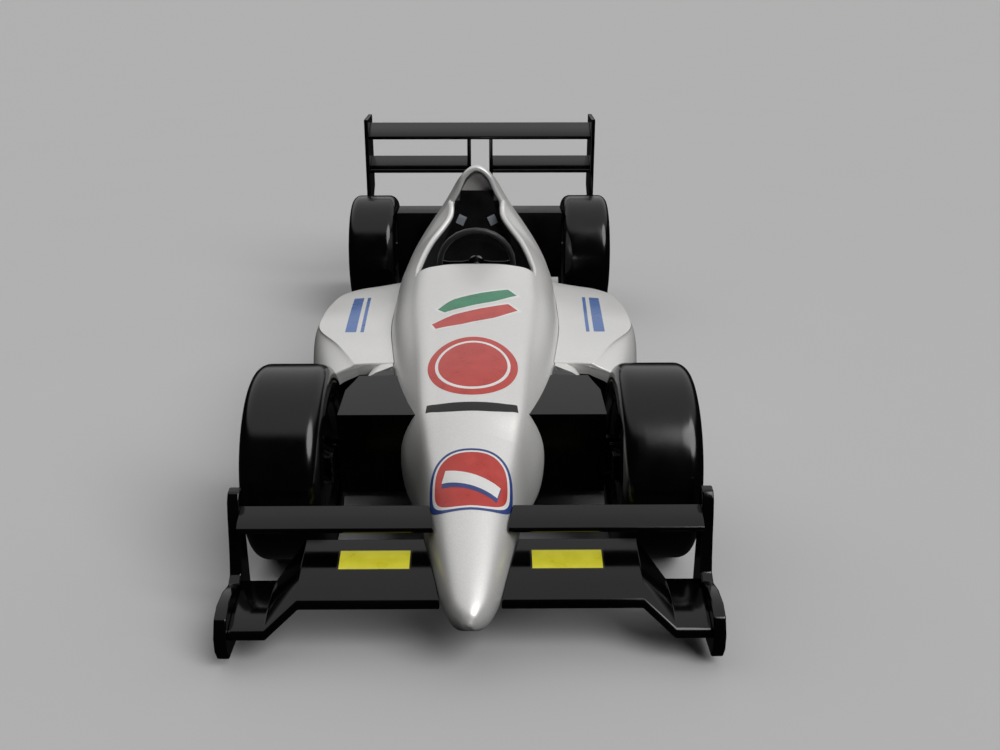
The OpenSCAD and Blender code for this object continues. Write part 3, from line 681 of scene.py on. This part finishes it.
def sweep_x(y, gap=9):
    """How far out a fixed piece may reach at y, clear of the tyre at full lock."""
    pivot = WHEEL.x / MM - 40
    reach = pivot - (WHEEL.x - TYRE_W / 2) / MM
    return (pivot - reach * math.cos(STEER_MAX)
            - (abs(y) + reach * math.sin(STEER_MAX)) * math.tan(STEER_MAX) - gap)


# ---- wings, fairings and the other hard pieces ----
def wings():
    for word in SIDES:
        for node, width in ((f"front_wing_{word}", 2.5), (f"front_flap_{word}", 1.5),
                            (f"front_endplate_{word}", 6), (f"rear_endplate_{word}", 4)):
            place(softened(node, width), BLACK, "chassis", (node,))
        for node, width in ((f"front_suspension_{word}", 5), (f"rear_suspension_{word}", 6)):
            place(softened(node, width), SATIN_BLACK, "chassis", (node,))
    for node, width in (("rear_wing_upper", 2), ("rear_wing_lower", 2), ("rear_wing_struts", 3)):
        place(softened(node, width), BLACK, "chassis", (node,))


def hard_parts():
    """The pieces whose CAD form is kept, with their edges rounded over."""
    for node, width, segments, material, slot in (
            ("undertray", 4, 3, CARBON, "carbon_panel"),
            ("gearbox", 8, 3, ALUMINIUM, "cast_alloy"),
            ("engine", 10, 3, ALUMINIUM, "cast_alloy"),
            ("rear_uprights", 4, 3, ALUMINIUM, "upright_alloy"),
            ("firewall", 2, 3, ALUMINIUM, None),
            ("dash_panel", 2, 3, CARBON, None),
            ("steering_column", 1.5, 3, STEEL, None),
            ("headrest", 7, 5, PEARL, "body_paint"),
            ("seat", 5, 4, GEL_COAT, "seat_shell"),
            ("radiators", 2, 3, CORE, "radiator_core")):
        place(softened(node, width, segments), material, "chassis", (node,))
    for word in SIDES:
        for node, width, material, slot in ((f"knuckle_{word}", 2, ALUMINIUM, "upright_alloy"),
                                            (f"brake_duct_{word}", 1.5, CARBON, None)):
            place(softened(node, width), material, f"knuckle_{word}", (node,))


# ---- wheels ----
def tyre_profile():
    """Slick tyre: flat tread, rounded shoulders, a sidewall with moulded rings, and the bead."""
    r, half, shoulder = TYRE_R / MM, TYRE_W / MM / 2, 50
    bead = RIM_R / MM - 12
    quarter = [math.radians(a) for a in range(0, 91, 10)]
    wall = [(r - shoulder - 3, half), (r - shoulder - 6, half - 1.5), (r - shoulder - 10, half - 1.5),
            (r - shoulder - 13, half), (bead + 60, half), (bead + 50, half - 1),
            (bead + 46, half - 3), (bead + 38, half - 3), (bead + 34, half - 1.5), (bead + 24, half - 4),
            (bead + 12.4, half - 12), (bead + 12.4, half - 22.2), (bead + 1.4, half - 24.4),
            (bead + 1.4, half - 42), (r - 40, half - 30), (r - 26, half - 50)]
    tread = [(r - shoulder + shoulder * math.sin(a), half - shoulder + shoulder * math.cos(a))
             for a in quarter]
    out_half = wall[::-1] + tread
    flat = [(r, x) for x in steps(half - shoulder, -half + shoulder, 6)[1:-1]]
    return out_half + flat + [(p[0], -p[1]) for p in reversed(out_half)]


def turned(name, profile, centre, side):
    """Lathe work with crisp steps."""
    return settle(lathe(name, profile, centre, side, 96), 30)


def hex_ring(centre, side, r, x0, x1, chamfer):
    """Six sided collar about the axle between two distances outboard of the wheel's middle."""
    rings = []
    for x, radius in ((x0, r), (x1 - chamfer, r), (x1, r - chamfer)):
        rings.append([(centre.x + side * x * MM, centre.y + radius * MM * math.sin(math.pi * k / 3),
                       centre.z + radius * MM * math.cos(math.pi * k / 3)) for k in range(6)])
    return settle(mesh_piece("hex", [p for ring in rings for p in ring], capped_faces(3, 6)), 25)


# radius and distance outboard, in mm: the nut's from the rim's spoked face, the brake's from the middle
NUT_WASHER = [(20, 0), (44, 0), (46, 2), (46, 5), (44, 7), (20, 7)]
NUT_NOSE = [(14, 27), (24, 27), (25, 29), (24, 36), (22, 38), (16, 38), (14, 36)]
BRAKE_DISC = [(50, -14), (138, -14), (140, -13), (140, -8), (138, -7), (50, -7)]
BRAKE_BELL = [(45.8, -14), (66, -14), (68, -12), (68, -4), (66, -2), (45.8, -2)]


def wheels():
    """Tyre, rim, lock nut, brake disc and rim bolts of each wheel."""
    disc_face = TYRE_W / MM / 2 - 40
    for word, side in SIDES.items():
        for end in ENDS:
            centre = Vector((side * WHEEL.x, AXLE_Y[end], WHEEL.z))
            name = f"{end}_{word}"
            body = f"wheel_{name}"
            tyre = settle(lathe(f"tyre_{name}_moulded", tyre_profile(), centre, side), 28)
            place(tyre, RUBBER, body, (f"tyre_{name}",))
            place(softened(f"rim_{name}", 1.5, 2), MAGNESIUM, body, (f"rim_{name}",))
            # centre lock nut: washer, hexagon and a bored nose, outside the spoked disc
            washer = turned("washer", [(r, disc_face + x) for r, x in NUT_WASHER], centre, side)
            hexagon = hex_ring(centre, side, 36, disc_face + 7, disc_face + 27, 4)
            nose_ring = turned("nose", [(r, disc_face + x) for r, x in NUT_NOSE], centre, side)
            place(joined(f"lock_nut_{name}", [washer, hexagon, nose_ring]), NUT_RED, body)
            brake = [turned("disc", BRAKE_DISC, centre, side), turned("bell", BRAKE_BELL, centre, side)]
            place(joined(f"brake_disc_{name}", brake), IRON, body)
            wheel_bolts(name, body, centre, side, disc_face)


# ---- Geometry Nodes: one small form set out on points that carry a direction ----
def stud_tree(name, make_form, material, sizes):
    """Tree that puts a form on every point, along the point's facing, with named inputs for its sizes."""
    tree = bpy.data.node_groups.new(name, "GeometryNodeTree")
    tree.interface.new_socket("Geometry", in_out="INPUT", socket_type="NodeSocketGeometry")
    for label, value in sizes.items():
        socket = tree.interface.new_socket(label, in_out="INPUT", socket_type="NodeSocketFloat")
        socket.default_value = value
    tree.interface.new_socket("Geometry", in_out="OUTPUT", socket_type="NodeSocketGeometry")
    entry = add(tree, "NodeGroupInput")
    facing = add(tree, "GeometryNodeInputNamedAttribute", {"Name": "facing"}, data_type="FLOAT_VECTOR")
    turn = add(tree, "FunctionNodeAlignRotationToVector", {"Vector": facing.outputs["Attribute"]}, axis="Z")
    form = make_form(tree, entry.outputs)
    spots = add(tree, "GeometryNodeMeshToPoints", {"Mesh": entry.outputs["Geometry"]})
    laid = add(tree, "GeometryNodeInstanceOnPoints", {"Points": spots.outputs["Points"], "Instance": form,
                                                      "Rotation": turn.outputs["Rotation"]})
    real = add(tree, "GeometryNodeRealizeInstances", {"Geometry": laid.outputs["Instances"]})
    coated = add(tree, "GeometryNodeSetMaterial", {"Geometry": real.outputs["Geometry"],
                                                   "Material": material})
    add(tree, "NodeGroupOutput", {"Geometry": coated.outputs["Geometry"]})
    return tree


def dome(tree, inputs):
    """Low domed head with a flat foot."""
    ball = add(tree, "GeometryNodeMeshIcoSphere", {"Radius": inputs["Head radius"], "Subdivisions": 2})
    flat = add(tree, "ShaderNodeCombineXYZ", {"X": 1.0, "Y": 1.0, "Z": inputs["Flatness"]})
    return add(tree, "GeometryNodeTransform", {"Geometry": ball.outputs["Mesh"],
                                               "Scale": flat.outputs["Vector"]}).outputs["Geometry"]


def bolt_form(tree, inputs):
    """Hexagon head on a round washer."""
    head = add(tree, "GeometryNodeMeshCylinder", {"Vertices": 6, "Radius": inputs["Head radius"],
                                                  "Depth": inputs["Head height"]})
    foot = add(tree, "ShaderNodeMath", {0: inputs["Head radius"], 1: 1.35}, operation="MULTIPLY")
    thin = add(tree, "ShaderNodeMath", {0: inputs["Head height"], 1: 0.45}, operation="MULTIPLY")
    washer = add(tree, "GeometryNodeMeshCylinder", {"Vertices": 18, "Radius": foot.outputs[0],
                                                    "Depth": thin.outputs[0]})
    both = add(tree, "GeometryNodeJoinGeometry", {"Geometry": head.outputs["Mesh"]})
    tree.links.new(washer.outputs["Mesh"], both.inputs["Geometry"])
    return both.outputs["Geometry"]


def fin_form(tree, inputs):
    """Thin upright plate of a radiator core."""
    across = add(tree, "ShaderNodeCombineXYZ", {"X": inputs["Fin width"], "Y": inputs["Fin depth"],
                                                "Z": inputs["Fin thickness"]})
    return add(tree, "GeometryNodeMeshCube", {"Size": across.outputs["Vector"]}).outputs["Mesh"]


def scattered(name, tree, spots, body, sizes=None):
    """Runs a stud tree over spots, each a (place, facing) pair, and keeps the plain mesh."""
    mesh = bpy.data.meshes.new(name)
    mesh.from_pydata([tuple(p) for p, _ in spots], [], [])
    facing = mesh.attributes.new("facing", "FLOAT_VECTOR", "POINT")
    facing.data.foreach_set("vector", [c for _, f in spots for c in f])
    piece = link(name, mesh)
    studs = piece.modifiers.new("studs", "NODES")
    studs.node_group = tree
    sockets = {i.name: i.identifier for i in tree.interface.items_tree if i.in_out == "INPUT"}
    for label, value in (sizes or {}).items():
        studs[sockets[label]] = value
    settle(piece, 35)
    return place(piece, None, body)


RIVETS = stud_tree("rivet_heads", dome, STEEL, {"Head radius": 0.004, "Flatness": 0.35})
BOLTS = stud_tree("hex_bolts", bolt_form, STEEL, {"Head radius": 0.007, "Head height": 0.006})
FINS = stud_tree("core_fins", fin_form, CORE,
                 {"Fin width": 0.25, "Fin depth": 0.05, "Fin thickness": 0.0012})


def wheel_bolts(name, body, centre, side, disc_face):
    """Ring of bolts round the lock nut, on the rim's spoked face."""
    out, ring_r = Vector((side, 0, 0)), 0.052
    spots = []
    for k in range(8):
        a = math.pi * k / 4
        offset = Vector((side * (disc_face + 1.5) * MM, ring_r * math.sin(a), ring_r * math.cos(a)))
        spots.append((centre + offset, out))
    scattered(f"rim_bolts_{name}", BOLTS, spots, body)


def plate_edge(node, side):
    """The box of an end plate, and how far out its outer face lies, with a rivet's stand-off."""
    low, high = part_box(node)
    return low, high, (high.x if side > 0 else low.x) + side * 0.0005


def fasteners():
    """Rivets along the foot of the front end plates and beside both rear wing elements."""
    spots = []
    for word, side in SIDES.items():
        out = Vector((side, 0, 0))
        low, high, face_x = plate_edge(f"front_endplate_{word}", side)
        spots += [(Vector((face_x, y, 0.075)), out) for y in steps(low.y + 0.05, high.y - 0.03, 7)]
        low, high, face_x = plate_edge(f"rear_endplate_{word}", side)
        spots += [(Vector((face_x, low.y + 0.06 + 0.034 * k, row_z + 0.018 * k)), out)
                  for row_z in (0.735, 0.955) for k in range(4)]
    scattered("plate_rivets", RIVETS, spots, "chassis")


def radiator_fins():
    """Rows of fins through each radiator, standing a little proud of its front and back."""
    low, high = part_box("radiators")
    inner_x = TUB * MM + 0.006
    width = high.x - inner_x
    spots = [(Vector((side * (inner_x + width / 2), middle("radiators").y, z)), Vector((0, 0, 1)))
             for side in SIDES.values() for z in steps(low.z + 0.012, high.z - 0.012, 54)]
    scattered("radiator_fins", FINS, spots, "chassis",
              {"Fin width": width - 0.012, "Fin depth": high.y - low.y + 0.004, "Fin thickness": 0.0014})


# ---- cockpit ----
STEER_TILT, STEER_CENTRE = math.radians(12), at((0, 1236, 712))
GRIP_R, WEBBING_THICK = 13, 2.6


def on_wheel(p):
    """A point of the steering wheel, in mm from its centre with z towards the dash, as a place."""
    x, y, z = p
    c, sn = math.cos(math.pi / 2 + STEER_TILT), math.sin(math.pi / 2 + STEER_TILT)
    across, along, height = STEER_CENTRE
    return (across + x * MM, along + (y * c - z * sn) * MM, height + (y * sn + z * c) * MM)


def tube_ring(name, radius, thick, ripple, ripples, around=120, section=20):
    """Ring in the wheel's plane, with a grip that swells ripples times round."""
    points = []
    for k in range(around):
        a = 2 * math.pi * k / around
        swell = thick * (1 + ripple * math.cos(ripples * a))
        for j in range(section):
            b = 2 * math.pi * j / section
            r = radius + swell * math.cos(b)
            points.append(on_wheel((r * math.cos(a), r * math.sin(a), swell * math.sin(b))))
    return settle(mesh_piece(name, points, hoop_faces(around, section)), 60)


def wheel_disc(name, r, z0, z1, chamfer):
    """Round plate or pin on the steering wheel's axis, with its edges chamfered."""
    turns = 48
    rings = [(0.01, z0), (r - chamfer, z0), (r, z0 + chamfer), (r, z1 - chamfer), (r - chamfer, z1),
             (0.01, z1)]
    points = [on_wheel((q * math.cos(2 * math.pi * k / turns), q * math.sin(2 * math.pi * k / turns), z))
              for q, z in rings for k in range(turns)]
    return settle(mesh_piece(name, points, grid_faces(len(rings), turns, closed=True)), 30)


def spoke(angle, inner, outer):
    """Flat spoke with a waist and rounded edges."""
    c, sn = math.cos(angle), math.sin(angle)
    outline_mm = [(inner, 19), (inner + 30, 13), (outer - 30, 13), (outer, 20)]
    side = outline_mm + [(r, -w) for r, w in reversed(outline_mm)]
    points = [on_wheel((r * c - w * sn, r * sn + w * c, z)) for z in (-3.5, 3.5) for r, w in side]
    piece = mesh_piece("spoke", points, capped_faces(2, len(side)))
    bevel = piece.modifiers.new("edges", "BEVEL")
    bevel.width, bevel.segments = 0.0016, 2
    return settle(piece, 40)


def steering_wheel():
    radius = size("steering_wheel").x / 2 / MM - GRIP_R
    rim = tube_ring("rim", radius, GRIP_R, ripple=0.04, ripples=24)
    place(rim, SUEDE, "steering_wheel", ("steering_wheel",))
    rim.name = "steering_wheel_grip"
    spokes = [spoke(math.radians(a), 34, radius - 4) for a in (0, 180, 270)]
    hub = wheel_disc("hub", 40, -8, 8, 2)
    place(joined("steering_wheel_spokes", [*spokes, hub]), GEL_COAT, "steering_wheel")
    boss = wheel_disc("boss", 16, 8, 22, 2)
    pad = wheel_disc("pad", 24, -12, -8, 1.5)
    shaft = wheel_disc("shaft", 9, 20, 90, 1)
    place(joined("quick_release_hub", [boss, pad, shaft]), STEEL, "steering_wheel")
    outwards = Vector(on_wheel((0, 0, -1))) - Vector(STEER_CENTRE)
    turns = [math.pi * k / 3 for k in range(6)]
    spots = [(Vector(on_wheel((32 * math.cos(a), 32 * math.sin(a), -8.2))), outwards) for a in turns]
    scattered("steering_wheel_screws", RIVETS, spots, "steering_wheel")


def strap(name, route, width, wide_way):
    """Flat webbing along a route, with its width along wide_way and a folded hem line at each edge."""
    curve = [np.array(p, float) for p in route]
    curve = [2 * curve[0] - curve[1], *curve, 2 * curve[-1] - curve[-2]]
    wide = np.array(wide_way, float)
    # the webbing's section, as shares of its width and thickness
    shape = [(-0.5, -0.3), (-0.5, 0.3), (-0.44, 0.5), (-0.38, 0.32), (0.38, 0.32), (0.44, 0.5),
             (0.5, 0.3), (0.5, -0.3), (0.44, -0.5), (-0.44, -0.5)]
    rings = []
    for t in steps(0, len(route) - 1, 12 * (len(route) - 1)):
        p = through(curve, t + 1)
        ahead = through(curve, min(t + 0.02, len(route) - 1) + 1) - through(curve, max(t - 0.02, 0) + 1)
        side = wide - ahead * (wide @ ahead) / (ahead @ ahead)
        side = side / np.linalg.norm(side)
        up = np.cross(ahead / np.linalg.norm(ahead), side)
        rings.append([at(p + side * width * a + up * WEBBING_THICK * b) for a, b in shape])
    return settle(mesh_piece(name, [p for r in rings for p in r], capped_faces(len(rings), len(shape))), 50)


SEAT_Y, SEAT_LEAN, SEAT_BACK = 1335, math.radians(18), 26
SEAT_FLOOR = FLOOR + TUB_WALL + 0.3
# slots for the shoulder belts: distance out from the middle, and up the seat's back
SLOT_X, SLOT_UP, SLOT_SLANT = 64, 799, math.radians(25)


def on_seat(x, up, proud):
    """A point on the seat's back: up along it, and proud of its front face, in mm."""
    c, sn = math.cos(SEAT_LEAN), math.sin(SEAT_LEAN)
    y = SEAT_Y + up * sn - (SEAT_BACK + proud) * c
    return (x, y, SEAT_FLOOR + up * c + (SEAT_BACK + proud) * sn)


def harness():
    """Ends of the shoulder belts, each laid through its slanted slot in the seat's back."""
    straps = []
    for side in SIDES.values():
        fall = (side * math.sin(SLOT_SLANT), -math.cos(SLOT_SLANT))
        wide = (math.cos(SLOT_SLANT), side * math.sin(SLOT_SLANT) * math.sin(SEAT_LEAN),
                side * math.sin(SLOT_SLANT) * math.cos(SEAT_LEAN))
        route = [on_seat(side * SLOT_X + fall[0] * down, SLOT_UP + fall[1] * down, proud)
                 for down, proud in ((0, -30), (0, -4), (3, 5), (16, 7), (44, 5))]
        straps.append(strap("shoulder", route, 38, wide))
    place(joined("harness_webbing", straps), WEBBING, "chassis")


# ---- decals: shapes without lettering ----
def decal(name, grid, target, material, lift_mm, closed=False):
    """Thin film laid on a panel. grid holds rows of (x, y) in mm from the front axle, and each point
    drops straight down on to the panel, from a height above the whole car."""
    tree = BVHTree.FromPolygons([v.co for v in target.data.vertices],
                                [tuple(p.vertices) for p in target.data.polygons])
    points = []
    for row in grid:
        for x, y in row:
            start = Vector(at((x, y, 1400)))
            hit, normal, _, _ = tree.ray_cast(start, Vector((0, 0, -1)))
            if normal.z < 0:
                normal = -normal
            points.append(hit + normal * lift_mm * MM)
    rows, cols = len(grid), len(grid[0])
    piece = mesh_piece(name, points, grid_faces(rows, cols, closed=closed))
    return place(settle(piece, 80), material, "chassis")


def oval(cx, cy, half_x, half_y, rings=10, turns=72, power=2.0, inner=0.0):
    """Rings of a round or squarish oval, from its centre (or an inner share of it) outwards."""
    grid = []
    for k in range(rings + 1):
        share = max(inner + (1 - inner) * k / rings, 1e-3)
        ring = []
        for j in range(turns):
            a = 2 * math.pi * j / turns
            c, s = math.cos(a), math.sin(a)
            ring.append((cx + share * half_x * math.copysign(abs(c) ** (2 / power), c),
                         cy + share * half_y * math.copysign(abs(s) ** (2 / power), s)))
        grid.append(ring)
    return grid


def ribbon(points, widths, across=6, along=40):
    """Band that follows points with a width at each."""
    curve = [np.array(p, float) for p in points]
    curve = [2 * curve[0] - curve[1], *curve, 2 * curve[-1] - curve[-2]]
    grid = []
    for t in steps(0, len(points) - 1, along):
        p = through(curve, t + 1)
        ahead = through(curve, min(t + 0.05, len(points) - 1) + 1) - through(curve, max(t - 0.05, 0) + 1)
        normal = np.array([-ahead[1], ahead[0]]) / max(np.linalg.norm(ahead), 1e-6)
        width = np.interp(t, range(len(widths)), widths)
        grid.append([tuple(p + normal * width * s) for s in steps(-0.5, 0.5, across)])
    return grid


def decals():
    """Coloured shapes without lettering, where the car carries its colours."""
    # slanted green and red bars with white edges, ahead of the cockpit
    for name, shift, colour in (("upper", 62, VINYL_GREEN), ("lower", -52, VINYL_RED)):
        path = [(-150 + shift * 0.2, 470 + shift * 1.1), (-60, 520 + shift * 1.25), (50, 575 + shift * 1.3),
                (160, 655 + shift * 1.25)]
        decal(f"cowl_bar_{name}_edge", ribbon(path, [70, 116, 116, 84]), cowl, VINYL_WHITE, 0.3)
        short = [(path[0][0] + 10, path[0][1] + 6), *path[1:3], (path[3][0] - 10, path[3][1] - 6)]
        decal(f"cowl_bar_{name}", ribbon(short, [44, 92, 92, 58]), cowl, colour, 0.6)
    # plain red oval with a white line inside its edge
    decal("cowl_oval", oval(0, 112, 158, 196), cowl, VINYL_RED, 0.3, closed=True)
    decal("cowl_oval_line", oval(0, 112, 132, 164, rings=2, inner=0.92), cowl, VINYL_WHITE, 0.6, closed=True)
    decal("cowl_band", ribbon([(-152, -122), (-60, -134), (60, -134), (152, -122)], [26, 34, 34, 26]), cowl,
          VINYL_BLACK, 0.3)
    # badge on the nose: navy edge, white ring, red field, and a white bar over a navy one
    for part, out, hole, colour in (("edge", 1.0, 0.93, VINYL_NAVY), ("ring", 0.93, 0.94, VINYL_WHITE),
                                    ("field", 0.874, 0.0, VINYL_RED)):
        shape = oval(0, -386, 130 * out, 104 * out, 3 if hole else 10, power=2.8, inner=hole)
        decal(f"nose_badge_{part}", shape, cone, colour, 0.8, closed=True)
    decal("nose_badge_shade", ribbon([(-86, -376), (0, -402), (86, -428)], [46, 46, 46], 4, 24), cone,
          VINYL_NAVY, 1.4)
    decal("nose_badge_bar", ribbon([(-86, -366), (0, -392), (86, -418)], [38, 38, 38], 4, 24), cone,
          VINYL_WHITE, 2.0)
    for word, side in SIDES.items():
        pod = pods[word]
        mark = [(side * 500, 680), (side * 510, 900), (side * 530, 1250)]
        decal(f"pod_bar_{word}", ribbon(mark, [44, 44, 44], 4, 30), pod, VINYL_BLUE, 0.3)
        decal(f"pod_line_{word}", ribbon([(x - side * 46, y) for x, y in mark], [14, 14, 14], 4, 30), pod,
              VINYL_BLUE, 0.3)
        wing = bpy.data.objects[f"front_wing_{word}_finished"]
        plate = [[(side * x, y) for x in steps(188, 404, 8)] for y in steps(-556, -482, 6)]
        decal(f"wing_plate_{word}", plate, wing, VINYL_YELLOW, 0.4)
        border = [[(side * x, y) for x in steps(182, 410, 8)] for y in steps(-562, -476, 6)]
        decal(f"wing_plate_edge_{word}", border, wing, VINYL_BLACK, 0.2)


# ---- camera, light and floor ----
def studio():
    """Camera, floor, surrounding light and key light."""
    camera = bpy.data.cameras.new("studio_camera")
    camera.lens, camera.sensor_width = 38.16, 36
    camera.clip_end = 400
    eye = bpy.data.objects.new("studio_camera", camera)
    eye.location = (0.063, AXLE_Y["front"] - 3.355, 1.965)
    eye.rotation_euler = (math.radians(90 - 21.26), 0, math.radians(-0.53))
    bpy.context.scene.collection.objects.link(eye)
    bpy.context.scene.camera = eye

    def grey_floor(tree, place_on):
        drift = noise(tree, place_on, 900, 2.0)
        return {"Base Color": blend_of(tree, drift, "#C1C1C1", "#C3C3C3")}
    # painted studio floor: plain grey, quite matt
    far = 150
    floor = mesh_piece("studio_floor", [(-far, -far, 0), (far, -far, 0), (far, far, 0), (-far, far, 0)],
                       [(0, 1, 2, 3)])
    floor.data.materials.append(surface("matt_floor_paint", grey_floor, Roughness=0.9,
                                        **{"Specular IOR Level": 0.1}))

    world = bpy.data.worlds.new("studio_air")
    world.use_nodes = True
    air = world.node_tree
    air.nodes.clear()
    # an even dome of light leaning over the car's tail: low behind it, high at its sides and nose
    toward = add(air, "ShaderNodeTexCoord").outputs["Generated"]
    lean = add(air, "ShaderNodeVectorMath", {0: toward, 1: (0.0, 0.42, 1.0)}, operation="DOT_PRODUCT")
    ceiling = add(air, "ShaderNodeMapRange",
                  {"Value": lean.outputs["Value"], "From Min": 0.5, "From Max": 0.64, "To Min": 0.01,
                   "To Max": 0.64}, interpolation_type="SMOOTHSTEP")
    glow = add(air, "ShaderNodeBackground", {"Color": (1, 1, 1, 1), "Strength": ceiling.outputs["Result"]})
    # the camera itself sees a plain pale backdrop
    backdrop = add(air, "ShaderNodeBackground", {"Color": (1, 1, 1, 1), "Strength": 0.45})
    seen = add(air, "ShaderNodeLightPath").outputs["Is Camera Ray"]
    whole = add(air, "ShaderNodeMixShader", {0: seen, 1: glow.outputs["Background"],
                                             2: backdrop.outputs["Background"]})
    add(air, "ShaderNodeOutputWorld", {"Surface": whole.outputs["Shader"]})
    bpy.context.scene.world = world
    bpy.context.scene.view_settings.view_transform = "Standard"
    floor.visible_glossy = floor.visible_diffuse = False

    # wide key light from the car's left, high up and ahead
    key = bpy.data.lights.new("soft_key", "SUN")
    key.energy, key.angle = 1.75, math.radians(40)
    holder = bpy.data.objects.new("soft_key", key)
    holder.rotation_euler = (math.radians(47), 0, math.radians(44))
    bpy.context.scene.collection.objects.link(holder)


cone, cowl = body_shell()
pods = sidepods()
wings()
hard_parts()
wheels()
steering_wheel()
harness()
fasteners()
radiator_fins()
decals()
studio()
